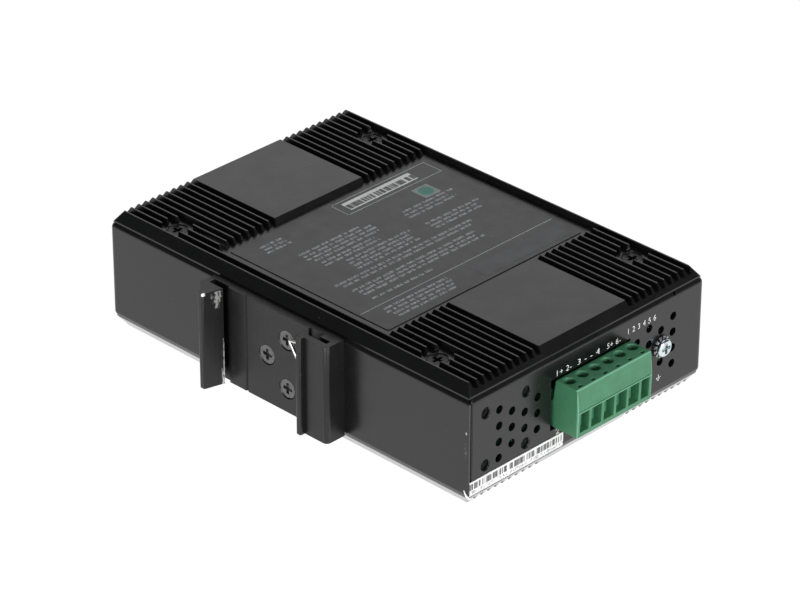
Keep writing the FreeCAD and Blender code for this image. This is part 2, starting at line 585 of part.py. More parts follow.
# Side cover: a black casting with sloping sides, ten fins each side of two flat patches
# and a sunk middle for the label. One casting closes each side, the lower one turned over
def side_cover(name, height, turned):
    body = new_body(name)
    seat(body, "0", "0", height)
    if turned:
        body.Placement.Rotation = FreeCAD.Rotation(FreeCAD.Vector(1, 0, 0), 180)
    edge_x = f"({HALF_LENGTH} - sizes.cover_inset)"
    edge_y = f"({HALF_DEPTH} - sizes.cover_inset)"
    plan = new_sketch(body, f"{name}_plan", "XY_Plane")
    rectangle(plan, f"-{edge_x}", edge_x, f"-{edge_y}", edge_y)
    pad(body, f"{name}_edge", plan, "sizes.cover_edge")
    low = new_sketch(body, f"{name}_low", "XY_Plane", "sizes.cover_edge")
    rectangle(low, f"-{edge_x}", edge_x, f"-{edge_y}", edge_y)
    high = new_sketch(body, f"{name}_high", "XY_Plane", COVER_HEIGHT)
    rectangle(high, f"-{TIP_HALF_LENGTH}", TIP_HALF_LENGTH, f"-{TIP_HALF_DEPTH}", TIP_HALF_DEPTH)
    slope = body.newObject("PartDesign::AdditiveLoft", f"{name}_slope")
    slope.Profile = low
    slope.Sections = [high]
    slope.Ruled = True
    slope.Refine = False
    rounded = fillet(body, f"{name}_corners", slope, sloped_corner, "sizes.cover_inset")

    # Ten grooves each side, cut the whole length, leave fins whose ends run out down the slope
    body.Tip = rounded
    start = f"({TIP_HALF_DEPTH} - sizes.fin_tip)"
    end = f"({TIP_HALF_DEPTH} - sizes.fin_pitch)"
    floor = f"({COVER_HEIGHT} - sizes.groove_depth)"
    top = f"({COVER_HEIGHT} + sizes.overrun)"
    for side, sign in (("front", ""), ("rear", "-")):
        fins = new_sketch(body, f"{name}_{side}_groove", "YZ_Plane", f"-{HALF_LENGTH}")
        outline(fins, [(f"{sign}({start})", top), (f"{sign}({start})", COVER_HEIGHT),
                       (f"{sign}({start} - sizes.groove_taper)", floor),
                       (f"{sign}({end} + sizes.groove_taper)", floor),
                       (f"{sign}({end})", COVER_HEIGHT), (f"{sign}({end})", top)])
        groove = pocket(body, f"{name}_{side}_cut", fins, "sizes.length", "One side", True)
        row = body.newObject("PartDesign::LinearPattern", f"{name}_{side}_fins")
        row.Originals = [groove]
        row.Direction = (fins, ["H_Axis"])
        row.Reversed = side == "front"
        row.setExpression("Length", "(sizes.fin_count - 1) * sizes.fin_pitch")
        row.setExpression("Occurrences", "sizes.fin_count")
        body.Tip = row

    # The label's recess takes every fin but the rims and the one next to the rail side's rim
    recess = new_sketch(body, f"{name}_recess", "XZ_Plane")
    floor_reach = "(sizes.recess_reach - sizes.recess_slope)"
    outline(recess, [("-sizes.recess_reach", top), ("-sizes.recess_reach", COVER_HEIGHT),
                     (f"-{floor_reach}", floor), (floor_reach, floor),
                     ("sizes.recess_reach", COVER_HEIGHT), ("sizes.recess_reach", top)])
    cut = body.newObject("PartDesign::Pocket", f"{name}_recess_cut")
    cut.Profile = recess
    cut.SideType = "Two sides"
    cut.setExpression("Length", RECESS_FRONT)
    cut.setExpression("Length2", RECESS_REAR)

    # A round well at each screw, and a countersunk hole in its floor
    wells = new_sketch(body, f"{name}_wells", "XY_Plane", COVER_HEIGHT)
    holes = new_sketch(body, f"{name}_holes", "XY_Plane", floor)
    for x in (SCREW_X, f"-{SCREW_X}"):
        for y in (SCREW_Y, f"-{SCREW_Y}"):
            disc(wells, x, y, "sizes.screw_well")
            disc(holes, x, y, "sizes.screw_shank + sizes.shank_clear")
    pocket(body, f"{name}_well_cut", wells, "sizes.groove_depth")
    drilled = pocket(body, f"{name}_drilled", holes)
    floor_height = size("cover_edge") + size("slope_rise") - size("groove_depth")
    hole_radius = size("screw_shank") + size("shank_clear")

    def hole_top(edge):
        return near(edge.BoundBox.ZMax, floor_height) and is_circle(edge, hole_radius)

    chamfer(body, f"{name}_countersinks", drilled, hole_top, COUNTERSINK)
    return named(body, name)


def sloped_corner(edge):
    """The four slanting edges between the cover's sloping sides."""
    box = edge.BoundBox
    return min(box.XLength, box.YLength, box.ZLength) > TINY


# Countersunk cross-head screw, standing head up with its head's face at its own origin
def countersunk_screw(name, length):
    body = new_body(name)
    half = new_sketch(body, f"{name}_half", "XZ_Plane")
    head = "(sizes.screw_shank + sizes.screw_head - sizes.shank_clear / 2)"
    outline(half, [("0", "0"), (head, "0"), (head, "-sizes.head_land"),
                   ("sizes.screw_shank", f"-{head} + sizes.screw_shank - sizes.head_land"),
                   ("sizes.screw_shank", f"-({length})"), ("0", f"-({length})")])
    revolve(body, f"{name}_turned", half)
    cross_recess(body, name, "0")
    return body


def cross_recess(body, name, lift):
    cross = new_sketch(body, f"{name}_cross", "XY_Plane", lift)
    reach = "sizes.cross_reach"
    width = "sizes.cross_width / 2"
    arm = [(reach, width), (width, width), (width, reach)]
    corners = arm + [(f"-{x}", y) for x, y in reversed(arm)]
    corners += [(f"-{x}", f"-{y}") for x, y in arm]
    corners += [(x, f"-{y}") for x, y in reversed(arm)]
    outline(cross, corners)
    pocket(body, f"{name}_cross_cut", cross, "sizes.cross_depth")


def cover_screws():
    head_level = "(sizes.thickness / 2 - sizes.groove_depth - sizes.head_sink)"
    for name, sign, turn in (("cover_screws_upper", "", 0), ("cover_screws_lower", "-", 180)):
        screw = countersunk_screw(f"{name}_screw", "sizes.screw_length")
        screw.Placement.Rotation = FreeCAD.Rotation(FreeCAD.Vector(1, 0, 0), turn)
        places = []
        for x in (SCREW_X, f"-{SCREW_X}"):
            for y in (SCREW_Y, f"-{SCREW_Y}"):
                places.append((x, y, f"{sign}{head_level}"))
        copies(name, screw, places)


# Films: the side label in its recess, the bar code strip round the lower rim at the terminal
# end, and the port side's face film with windows for the ports and lights
def side_label():
    body = new_body("side_label")
    seat(body, "0", "0", "sizes.thickness / 2 - sizes.groove_depth")
    plan = new_sketch(body, "label_plan", "XY_Plane")
    reach = "(sizes.recess_reach - sizes.recess_slope - sizes.label_end_gap)"
    rectangle(plan, f"-{reach}", reach, f"-({RECESS_REAR} - sizes.label_rear_gap)",
              f"{RECESS_FRONT} - sizes.label_front_gap")
    film = pad(body, "label_film", plan, "sizes.film")
    fillet(body, "label_corners", film, upright, "4 * sizes.film")
    return named(body, "side_label")


def barcode_strip():
    lower_rim = f"(-{WRAP_HEIGHT} / 2 + sizes.rim_radius)"
    rim_x = f"({HALF_LENGTH} - sizes.rim_radius)"
    start_y = f"(-{HALF_DEPTH} + sizes.sheet_wall / 2)"
    flat = doc.addObject("Part::Box", "strip_flat")
    flat.setExpression("Length", "sizes.film")
    flat.setExpression("Width", "sizes.strip_length")
    flat.setExpression("Height", f"-sizes.strip_top - {lower_rim}")
    seat(flat, HALF_LENGTH, start_y, lower_rim)
    rolls = []
    outside = ("strip_outside", "sizes.rim_radius + sizes.film")
    for name, radius in (outside, ("strip_inside", "sizes.rim_radius")):
        roll = doc.addObject("Part::Cylinder", name)
        roll.setExpression("Radius", radius)
        roll.setExpression("Height", "sizes.strip_length")
        roll.setExpression("Angle", "sizes.strip_wrap")
        roll.Placement.Rotation = FreeCAD.Rotation(FreeCAD.Vector(1, 0, 0), -90)
        seat(roll, rim_x, start_y, lower_rim)
        rolls.append(roll)
    bend = doc.addObject("Part::Cut", "strip_bend")
    bend.Base, bend.Tool = rolls
    strip = doc.addObject("Part::Fuse", "barcode_strip")
    strip.Base = flat
    strip.Tool = bend
    strip.Refine = False
    return named(strip, "barcode_strip")


def front_overlay():
    body = new_body("front_overlay")
    seat(body)
    face = new_sketch(body, "overlay_face", "XZ_Plane", f"-{HALF_DEPTH}")
    edge_x = f"({HALF_LENGTH} - 2 * sizes.rim_radius)"
    edge_z = f"({WRAP_HEIGHT} / 2 - 2 * sizes.rim_radius)"
    rectangle(face, f"-{edge_x}", edge_x, f"-{edge_z}", edge_z)
    half = "(sizes.jack_width / 2 + sizes.shield + 2 * sizes.jack_clear)"
    for index in PORTS:
        rectangle(face, f"{port_x(index)} - {half}", f"{port_x(index)} + {half}",
                  f"{BOARD_LEVEL} - 2 * sizes.jack_clear",
                  f"{BOARD_LEVEL} + sizes.jack_height + sizes.shield + 2 * sizes.jack_clear")
    for index in LIGHTS:
        disc(face, status_x(index), f"{BOARD_LEVEL} + sizes.status_rise",
             "sizes.pipe_radius + sizes.jack_clear")
    pad(body, "overlay_film", face, "sizes.film", "One side", True)
    return named(body, "front_overlay")


# Rail clip: one black extrusion with a plate, a fixed hook and a spring hook, cut to width
def clip_point(x, out):
    """Point of the clip's section: x from the rail centre, out from the sheet's rail face."""
    return (f"{x} - sizes.rail_offset", f"-{HALF_DEPTH} - ({out})")


def din_clip():
    body = new_body("din_clip")
    seat(body)
    section = new_sketch(body, "clip_section", "XY_Plane")
    inner_left = "(-sizes.clip_start + sizes.hook_wall)"
    inner_right = "(sizes.clip_end - sizes.hook_wall)"
    lip_right = "(sizes.mouth_half + sizes.lip_wall)"
    fixed_top = "sizes.fixed_roof + sizes.hook_wall"
    spring_top = "sizes.spring_roof + sizes.hook_wall"
    groove = "(-sizes.clip_start + sizes.groove_start)"
    fixed_tip = "(-sizes.mouth_half - sizes.fixed_lean)"
    plate_left = "(-sizes.mouth_half + sizes.plate_start)"
    plate_right = "(sizes.mouth_half - sizes.plate_stop)"
    step = f"({inner_right} - sizes.slot_step)"
    corners = [
        ("-sizes.clip_start", "0"),
        ("sizes.clip_end", "0"),
        ("sizes.clip_end", spring_top),
        (lip_right, spring_top),
        (lip_right, "sizes.spring_lip"),
        ("(sizes.mouth_half + sizes.spring_lean)", "sizes.spring_lip"),
        ("sizes.mouth_half", "sizes.spring_roof"),
        (inner_right, "sizes.spring_roof"),
        (inner_right, "2 * sizes.hook_floor"),
        (step, "2 * sizes.hook_floor"),
        (step, "sizes.hook_floor"),
        (f"({plate_right} + sizes.plate_slope)", "sizes.hook_floor"),
        (plate_right, "sizes.clip_plate"),
        (f"({groove} + sizes.groove_width)", "sizes.clip_plate"),
        (f"({groove} + 2 * sizes.groove_width / 3)", "sizes.clip_plate - sizes.clip_groove"),
        (groove, "sizes.clip_plate"),
        (plate_left, "sizes.clip_plate"),
        (f"({plate_left} - sizes.plate_slope)", "sizes.hook_floor"),
        (inner_left, "sizes.hook_floor"),
        (inner_left, "sizes.fixed_roof"),
        ("-sizes.mouth_half", "sizes.fixed_roof"),
        (fixed_tip, "sizes.fixed_lip"),
        (f"({fixed_tip} - sizes.lip_wall)", "sizes.fixed_lip - sizes.lip_slant"),
        ("(-sizes.mouth_half - sizes.lip_wall)", fixed_top),
        ("-sizes.clip_start", fixed_top),
    ]
    outline(section, [clip_point(x, out) for x, out in corners])
    bar = pad(body, "clip_bar", section, "sizes.clip_width", "Symmetric")
    face_y = -size("depth") / 2

    def lip_edge(edge):
        middle = edge.BoundBox.Center
        out = face_y - middle.y
        lips = (size("spring_lip"), size("fixed_lip"), size("fixed_lip") - size("lip_slant"))
        return upright(edge) and any(near(out, lip) for lip in lips)

    def hook_corner(edge):
        middle = edge.BoundBox.Center
        out = face_y - middle.y
        at_end = near(middle.x + size("rail_offset"), size("clip_end"))
        return upright(edge) and at_end and out > size("spring_roof")

    tips = fillet(body, "clip_tips", bar, lip_edge, "sizes.lip_wall / 4")
    corner = fillet(body, "clip_corner", tips, hook_corner, "0.8 * sizes.hook_wall")
    body.Tip = corner
    plate = new_sketch(body, "clip_holes", "XZ_Plane", f"{HALF_DEPTH} + sizes.clip_plate")
    for x, z in clip_screw_places():
        disc(plate, x, z, "sizes.screw_shank + sizes.shank_clear")
    drilled = pocket(body, "clip_drilled", plate)
    plate_y = face_y - size("clip_plate")
    hole_radius = size("screw_shank") + size("shank_clear")

    def hole_top(edge):
        return near(edge.BoundBox.Center.y, plate_y) and is_circle(edge, hole_radius)

    chamfer(body, "clip_countersinks", drilled, hole_top, COUNTERSINK)
    return named(body, "din_clip")


def clip_screw_places():
    """Places of the clip's three screws as X and Z from the housing's middle."""
    return [("sizes.clip_screw_far - sizes.rail_offset", "sizes.clip_screw_rise"),
            ("sizes.clip_screw_far - sizes.rail_offset", "-sizes.clip_screw_rise"),
            ("-sizes.clip_screw_near - sizes.rail_offset", "0")]


def din_spring():
    """Bent spring wire in the spring hook's slot, sprung out past the lip."""
    body = new_body("din_spring")
    out = "(2 * sizes.hook_floor + sizes.spring_wire)"
    seat(body)
    path = new_sketch(body, "spring_path", "XZ_Plane", f"{HALF_DEPTH} + {out}")
    slot_x = "(sizes.clip_end - sizes.hook_wall - sizes.spring_seat - sizes.rail_offset)"
    tip_x = "(sizes.mouth_half - sizes.spring_reach - sizes.rail_offset)"
    low = "(-sizes.clip_width / 2 + sizes.spring_inset)"
    knee = "(sizes.spring_bend - sizes.spring_long)"
    points = [(slot_x, low), (slot_x, knee), (tip_x, "sizes.spring_bend"),
              (f"({slot_x} - sizes.spring_wire)", "(sizes.spring_bend + sizes.spring_short)")]
    for index in range(3):
        start = FreeCAD.Vector(index, index * index, 0)
        end = FreeCAD.Vector(index + 1, (index + 1) ** 2, 0)
        path.addGeometry(Part.LineSegment(start, end))
        if index > 0:
            path.addConstraint(Sketcher.Constraint("Coincident", index - 1, 2, index, 1))
    for index, (x, z) in enumerate(points):
        line, end = (index, 1) if index < 3 else (2, 2)
        place = path.addConstraint(Sketcher.Constraint("DistanceX", line, end, index))
        path.setExpression(f"Constraints[{place}]", x)
        place = path.addConstraint(Sketcher.Constraint("DistanceY", line, end, index * index))
        path.setExpression(f"Constraints[{place}]", z)
    section = new_sketch(body, "spring_section", "XY_Plane", low)
    disc(section, slot_x, f"-{HALF_DEPTH} - {out}", "sizes.spring_wire")
    wire = body.newObject("PartDesign::AdditivePipe", "spring_wire_run")
    wire.Profile = section
    wire.Spine = (path, ["Edge1", "Edge2", "Edge3"])
    wire.Transition = "Round corner"
    return named(body, "din_spring")


def clip_fasteners():
    screw = countersunk_screw("clip_screw", "sizes.clip_screw_length")
    screw.Placement.Rotation = FreeCAD.Rotation(FreeCAD.Vector(1, 0, 0), 90)
    head_y = f"-{HALF_DEPTH} - sizes.clip_plate + sizes.head_sink"
    copies("din_clip_screws", screw, [(x, head_y, z) for x, z in clip_screw_places()])
    nut = press_nut("clip_nut", "sizes.screw_shank + sizes.shank_clear / 2")
    nut.Placement.Rotation = FreeCAD.Rotation(FreeCAD.Vector(1, 0, 0), -90)
    inner_y = f"-{HALF_DEPTH} + sizes.sheet_wall"
    copies("clip_press_nuts", nut, [(x, inner_y, z) for x, z in clip_screw_places()])


def press_nut(name, bore):
    """Round press nut standing on its flange, its thread left as a plain bore."""
    body = new_body(name)
    plan = new_sketch(body, f"{name}_plan", "XY_Plane")
    disc(plan, "0", "0", "sizes.nut_radius")
    disc(plan, "0", "0", bore)
    ring = pad(body, f"{name}_ring", plan, "sizes.nut_height")

    def outer_top(edge):
        return is_circle(edge, size("nut_radius")) and edge.BoundBox.ZMax > 0.5 * size("nut_height")

    chamfer(body, f"{name}_edge", ring, outer_top, "sizes.nut_height / 5")
    return body


def terminal_end_fasteners():
    inner_x = f"{HALF_LENGTH} - sizes.sheet_wall"
    quarter_turn = FreeCAD.Rotation(FreeCAD.Vector(0, 1, 0), -90)
    nut = press_nut("bracket_nut", "sizes.bracket_radius")
    nut.Placement.Rotation = quarter_turn
    copies("bracket_press_nuts", nut, [(inner_x, y, z) for y, z in bracket_places()])
    nut = press_nut("ground_press_nut", "sizes.screw_shank + sizes.shank_clear / 2")
    nut.Placement.Rotation = quarter_turn
    seat(nut, inner_x, "sizes.ground_y", "sizes.vent_rise")
    named(nut, "ground_press_nut")

    washer = new_body("ground_washer")
    washer.Placement.Rotation = FreeCAD.Rotation(FreeCAD.Vector(0, 1, 0), 90)
    seat(washer, HALF_LENGTH, "sizes.ground_y", "sizes.vent_rise")
    ring = new_sketch(washer, "washer_ring", "XY_Plane")
    disc(ring, "0", "0", "sizes.washer_radius")
    disc(ring, "0", "0", "sizes.screw_shank + sizes.shank_clear / 2")
    flat = pad(washer, "washer_flat", ring, "sizes.washer_height")
    doc.recompute()
    gap = new_sketch(washer, "washer_gap", "XY_Plane")
    rectangle(gap, "sizes.washer_radius - sizes.tooth_length", "sizes.washer_radius + sizes.overrun",
              "-sizes.washer_radius / sizes.washer_teeth", "sizes.washer_radius / sizes.washer_teeth")
    slot = pocket(washer, "washer_slot", gap, None, "Symmetric")
    teeth = washer.newObject("PartDesign::PolarPattern", "washer_teeth")
    teeth.Originals = [slot]
    teeth.Axis = (ring, ["N_Axis"])
    teeth.Angle = 360
    teeth.setExpression("Occurrences", "sizes.washer_teeth")
    washer.Tip = teeth
    named(washer, "ground_washer")

    screw = new_body("ground_screw")
    screw.Placement.Rotation = FreeCAD.Rotation(FreeCAD.Vector(0, 1, 0), 90)
    seat(screw, f"{HALF_LENGTH} + sizes.washer_height", "sizes.ground_y", "sizes.vent_rise")
    half = new_sketch(screw, "ground_half", "XZ_Plane")
    top = "sizes.ground_head_height"
    foot = "-sizes.clip_screw_length"
    outline(half, [("0", top), ("sizes.ground_head", top), ("sizes.ground_head", "0"),
                   ("sizes.screw_shank", "0"), ("sizes.screw_shank", foot), ("0", foot)])
    turned = revolve(screw, "ground_turned", half)

    def head_edge(edge):
        at_top = near(edge.BoundBox.ZMax, size("ground_head_height"))
        return at_top and is_circle(edge, size("ground_head"))

    fillet(screw, "ground_dome", turned, head_edge, "0.6 * sizes.ground_head_height")
    cross_recess(screw, "ground", "sizes.ground_head_height")
    named(screw, "ground_screw")


# Terminal plug: green moulding of six poles that pulls off along X
def terminal_plug():
    body = new_body("terminal_plug")
    seat(body, HALF_LENGTH, "sizes.plug_y", "0")
    side = new_sketch(body, "plug_side", "XZ_Plane", "sizes.plug_trim / 2")
    crease_x = "(sizes.plug_front + sizes.crease_out)"
    outline(side, [
        ("sizes.plug_heel", "sizes.plug_top"),
        ("sizes.plug_front - sizes.front_lean - sizes.front_edge", "sizes.plug_top"),
        ("sizes.plug_front - sizes.front_lean", "sizes.plug_top - sizes.front_edge"),
        (crease_x, "sizes.crease_rise"),
        (f"{crease_x} - sizes.crease_depth", "sizes.crease_rise - sizes.crease_depth"),
        (crease_x, "sizes.crease_rise - 2 * sizes.crease_depth"),
        ("sizes.plug_front", "-sizes.plug_bottom"),
        ("-sizes.plug_shoulder", "-sizes.plug_bottom"),
        ("-sizes.plug_shoulder", "sizes.shoulder_top"),
        ("sizes.plug_heel - sizes.plug_lean", "sizes.shoulder_top + sizes.front_edge"),
    ])
    width = "sizes.pole_count * sizes.pole_pitch - sizes.plug_trim"
    pad(body, "plug_moulding", side, width, "Symmetric")
    rear = new_sketch(body, "plug_rear", "YZ_Plane", "-sizes.plug_shoulder")
    rectangle(rear, "-sizes.block_half", "sizes.block_half", "-sizes.block_bottom", "sizes.block_top")
    pad(body, "plug_inner", rear, "sizes.plug_block - sizes.plug_shoulder", "One side", True)

    chamber_start = "(sizes.screw_axis - sizes.cage_length / 2 - sizes.cage_gap)"
    chamber_end = "(sizes.screw_axis + sizes.cage_length / 2 + sizes.cage_gap)"
    chamber_half = "(sizes.cage_half + sizes.cage_gap)"
    chamber_low = "(sizes.contact_low + sizes.cage_room - sizes.contact_thick + sizes.cage_floor)"
    wells = new_sketch(body, "plug_wells", "XY_Plane", "sizes.plug_top")
    shanks = new_sketch(body, "plug_shanks", "XY_Plane", "sizes.plug_top")
    slots = new_sketch(body, "plug_slots", "XY_Plane", "sizes.plug_top")
    chambers = new_sketch(body, "plug_chambers", "XY_Plane", "sizes.clamp_seat - sizes.seat_web")
    windows = new_sketch(body, "plug_windows", "YZ_Plane", crease_x)
    entries = new_sketch(body, "plug_entries", "YZ_Plane", "sizes.plug_front")
    sockets = new_sketch(body, "plug_sockets", "YZ_Plane", "-sizes.plug_block")
    strips = new_sketch(body, "plug_strips", "YZ_Plane", "-sizes.plug_block")
    slot_front = "(sizes.plug_front - sizes.slot_gap)"
    end_reach = "(sizes.pole_pitch / 2 - sizes.end_wall)"
    reach_low = [end_reach] + ["sizes.window_half"] * (len(POLES) - 1)
    reach_high = ["sizes.window_half"] * (len(POLES) - 1) + [f"({end_reach} - sizes.plug_trim)"]
    for index in POLES:
        y = pole_y(index)
        disc(wells, "sizes.screw_axis", y, "sizes.well_radius")
        disc(shanks, "sizes.screw_axis", y, "sizes.clamp_shank + sizes.cage_gap")
        rectangle(slots, f"{slot_front} - sizes.slot_width", slot_front,
                  f"{y} - sizes.slot_length / 2", f"{y} + sizes.slot_length / 2")
        rectangle(chambers, chamber_start, chamber_end, f"{y} - {chamber_half}", f"{y} + {chamber_half}")
        rectangle(windows, f"{y} - {reach_low[index]}", f"{y} + {reach_high[index]}",
                  "-sizes.window_bottom", "sizes.window_top")
        rectangle(entries, f"{y} - sizes.contact_half - sizes.cage_gap",
                  f"{y} + sizes.contact_half + sizes.cage_gap",
                  f"-{chamber_low} + sizes.cage_floor", "-sizes.contact_low + sizes.pin_gap")
        rectangle(sockets, f"{y} - sizes.contact_half - sizes.pin_gap",
                  f"{y} + sizes.contact_half + sizes.pin_gap",
                  f"-{PIN_LOW} - sizes.contact_thick - 2 * sizes.pin_gap",
                  "sizes.contact_thick - sizes.contact_low")
        rectangle(strips, f"{y} - sizes.contact_half - sizes.pin_gap",
                  f"{y} + sizes.contact_half + sizes.pin_gap",
                  "-sizes.contact_low - sizes.pin_gap", "sizes.contact_thick - sizes.contact_low")
    pocket(body, "plug_well_cut", wells, "sizes.plug_top - sizes.clamp_seat")
    pocket(body, "plug_shank_cut", shanks, "sizes.plug_top - sizes.clamp_seat + 2 * sizes.seat_web")
    pocket(body, "plug_slot_cut", slots, "sizes.slot_depth")
    chamber_height = f"sizes.clamp_seat - sizes.seat_web + {chamber_low} + sizes.cage_gap"
    pocket(body, "plug_chamber_cut", chambers, chamber_height)
    pocket(body, "plug_window_cut", windows, "sizes.window_depth + sizes.crease_out")
    pocket(body, "plug_entry_cut", entries, f"sizes.plug_front - {chamber_end} + sizes.overrun")
    socket_depth = "sizes.plug_block - sizes.pin_tip + 2 * sizes.overrun"
    pocket(body, "plug_socket_cut", sockets, socket_depth, "One side", True)
    strip_depth = f"sizes.plug_block + {chamber_start} + sizes.overrun"
    pocket(body, "plug_strip_cut", strips, strip_depth, "One side", True)
    return named(body, "terminal_plug")


def plug_contacts():
    """Tinned contacts: a fork over each pin and a strip through each cage."""
    body = new_body("plug_contacts")
    seat(body, HALF_LENGTH, "sizes.plug_y", "0")
    fork_start = "(sizes.plug_block - sizes.contact_inset)"
    strip_end = "(sizes.screw_axis + sizes.cage_length / 2)"
    forks = new_sketch(body, "contact_forks", "YZ_Plane", f"-{fork_start}")
    strips = new_sketch(body, "contact_strips", "YZ_Plane", f"-{fork_start}")
    leaf_low = f"(-{PIN_LOW} - sizes.pin_gap - sizes.contact_thick)"
    for index in POLES:
        y = pole_y(index)
        side_in = f"{y} + sizes.pin_size / 2 + sizes.pin_gap"
        high = "sizes.contact_thick - sizes.contact_low"
        outline(forks, [
            (f"{y} - sizes.contact_half", "-sizes.contact_low"), (side_in, "-sizes.contact_low"),
            (side_in, f"-{PIN_LOW} - sizes.pin_gap"),
            (f"{y} - sizes.contact_half", f"-{PIN_LOW} - sizes.pin_gap"),
            (f"{y} - sizes.contact_half", leaf_low), (f"{y} + sizes.contact_half", leaf_low),
            (f"{y} + sizes.contact_half", high), (f"{y} - sizes.contact_half", high),
        ])
        rectangle(strips, f"{y} - sizes.contact_half", f"{y} + sizes.contact_half",
                  "-sizes.contact_low", high)
    pad(body, "contact_fork_run", forks, f"{fork_start} - sizes.pin_tip")
    pad(body, "contact_strip_run", strips, f"{fork_start} + {strip_end}")
    return named(body, "plug_contacts")


def terminal_screw(index):
    """Slotted clamp screw of one pole: it turns in the moulding and lifts its cage."""
    name = f"terminal_screw_{index + 1}"
    body = new_body(name)
    seat(body, f"{HALF_LENGTH} + sizes.screw_axis", f"sizes.plug_y + {pole_y(index)}", "sizes.clamp_seat")
    half = new_sketch(body, f"{name}_half", "XZ_Plane")
    foot = "(sizes.clamp_seat - sizes.contact_thick + sizes.contact_low - sizes.cage_gap)"
    outline(half, [("0", "sizes.clamp_head_height"), ("sizes.clamp_head", "sizes.clamp_head_height"),
                   ("sizes.clamp_head", "0"), ("sizes.clamp_shank", "0"),
                   ("sizes.clamp_shank", f"-{foot}"), ("0", f"-{foot}")])
    revolve(body, f"{name}_turned", half)
    slot = new_sketch(body, f"{name}_slot", "XY_Plane", "sizes.clamp_head_height")
    rectangle(slot, "-sizes.clamp_head - sizes.overrun", "sizes.clamp_head + sizes.overrun",
              "-sizes.clamp_slot / 2", "sizes.clamp_slot / 2")
    pocket(body, f"{name}_slot_cut", slot, "sizes.clamp_head_height / 2")
    return named(body, name)


def wire_clamp(index):
    """Cage of one pole: a square loop round the contact strip, threaded on its screw."""
    name = f"wire_clamp_{index + 1}"
    body = new_body(name)
    inner_top = "(sizes.contact_thick - sizes.contact_low + sizes.cage_gap)"
    seat(body, f"{HALF_LENGTH} + sizes.screw_axis", f"sizes.plug_y + {pole_y(index)}", inner_top)
    loop = new_sketch(body, f"{name}_loop", "YZ_Plane")
    inner = "(sizes.cage_half - sizes.cage_wall)"
    rectangle(loop, "-sizes.cage_half", "sizes.cage_half",
              "-sizes.cage_room - sizes.cage_floor", "sizes.cage_floor")
    rectangle(loop, f"-{inner}", inner, "-sizes.cage_room", "0")
    pad(body, f"{name}_band", loop, "sizes.cage_length", "Symmetric")
    bore = new_sketch(body, f"{name}_bore", "XY_Plane", "sizes.cage_floor")
    disc(bore, "0", "0", "sizes.clamp_shank + sizes.thread_gap")
    pocket(body, f"{name}_bore_cut", bore, "2 * sizes.cage_floor")
    return named(body, name)


# Header: the plug's green socket on the board, with six square pins bent down through it
def terminal_header():
    body = new_body("terminal_header")
    seat(body, HALF_LENGTH, "sizes.plug_y", "0")
    outer_half = "(sizes.block_half + sizes.plug_gap + sizes.header_wall)"
    front = new_sketch(body, "header_front", "YZ_Plane", "-sizes.header_face")
    rectangle(front, f"-{outer_half}", outer_half, BOARD_LEVEL,
              "sizes.block_top + sizes.plug_gap + sizes.header_wall")
    pad(body, "header_shell", front, "sizes.header_back - sizes.header_face", "One side", True)
    mouth = new_sketch(body, "header_mouth", "YZ_Plane", "-sizes.header_face")
    inner_half = "(sizes.block_half + sizes.plug_gap)"
    rectangle(mouth, f"-{inner_half}", inner_half, "-sizes.block_bottom - sizes.plug_gap",
              "sizes.block_top + sizes.plug_gap")
    pocket(body, "header_mouth_cut", mouth, "sizes.header_cavity")
    holes = new_sketch(body, "header_holes", "YZ_Plane", "-sizes.header_face")
    slots = new_sketch(body, "header_slots", "YZ_Plane", "-sizes.header_back")
    half_pin = "(sizes.pin_size / 2 + sizes.pin_gap)"
    for index in POLES:
        y = pole_y(index)
        rectangle(holes, f"{y} - {half_pin}", f"{y} + {half_pin}",
                  f"-{PIN_LOW} - sizes.pin_gap", f"-{PIN_HIGH} + sizes.pin_gap")
        rectangle(slots, f"{y} - {half_pin}", f"{y} + {half_pin}",
                  f"{BOARD_LEVEL} - sizes.overrun", f"-{PIN_HIGH} + sizes.pin_gap")
    pocket(body, "header_hole_cut", holes)
    pocket(body, "header_slot_cut", slots, "2 * sizes.pin_size", "One side", True)
    return named(body, "terminal_header")


def header_pins():
    body = new_body("header_pins")
    seat(body, HALF_LENGTH, "sizes.plug_y", "0")
    tail = "(-sizes.header_back + sizes.pin_size)"
    foot = f"({BOARD_LEVEL} - sizes.board_thick - sizes.pin_tail)"
    for index in POLES:
        side = new_sketch(body, f"pin_side_{index + 1}", "XZ_Plane", f"-({pole_y(index)})")
        outline(side, [(tail, foot), (f"{tail} + sizes.pin_size", foot),
                       (f"{tail} + sizes.pin_size", f"-{PIN_LOW}"), ("-sizes.pin_tip", f"-{PIN_LOW}"),
                       ("-sizes.pin_tip", f"-{PIN_HIGH}"), (tail, f"-{PIN_HIGH}")])
        pad(body, f"pin_{index + 1}", side, "sizes.pin_size", "Symmetric")
    return named(body, "header_pins")


# Board: green laminate on four standoffs, carrying the ports, the header and the electronics
def mount_places(level):
    places = []
    for x in (f"({HALF_LENGTH} - sizes.mount_from_ends)", f"(-{HALF_LENGTH} + sizes.mount_from_ends)"):
        for y in (f"({HALF_DEPTH} - sizes.mount_front)", f"(-{HALF_DEPTH} + sizes.mount_rear)"):
            places.append((x, y, level))
    return places


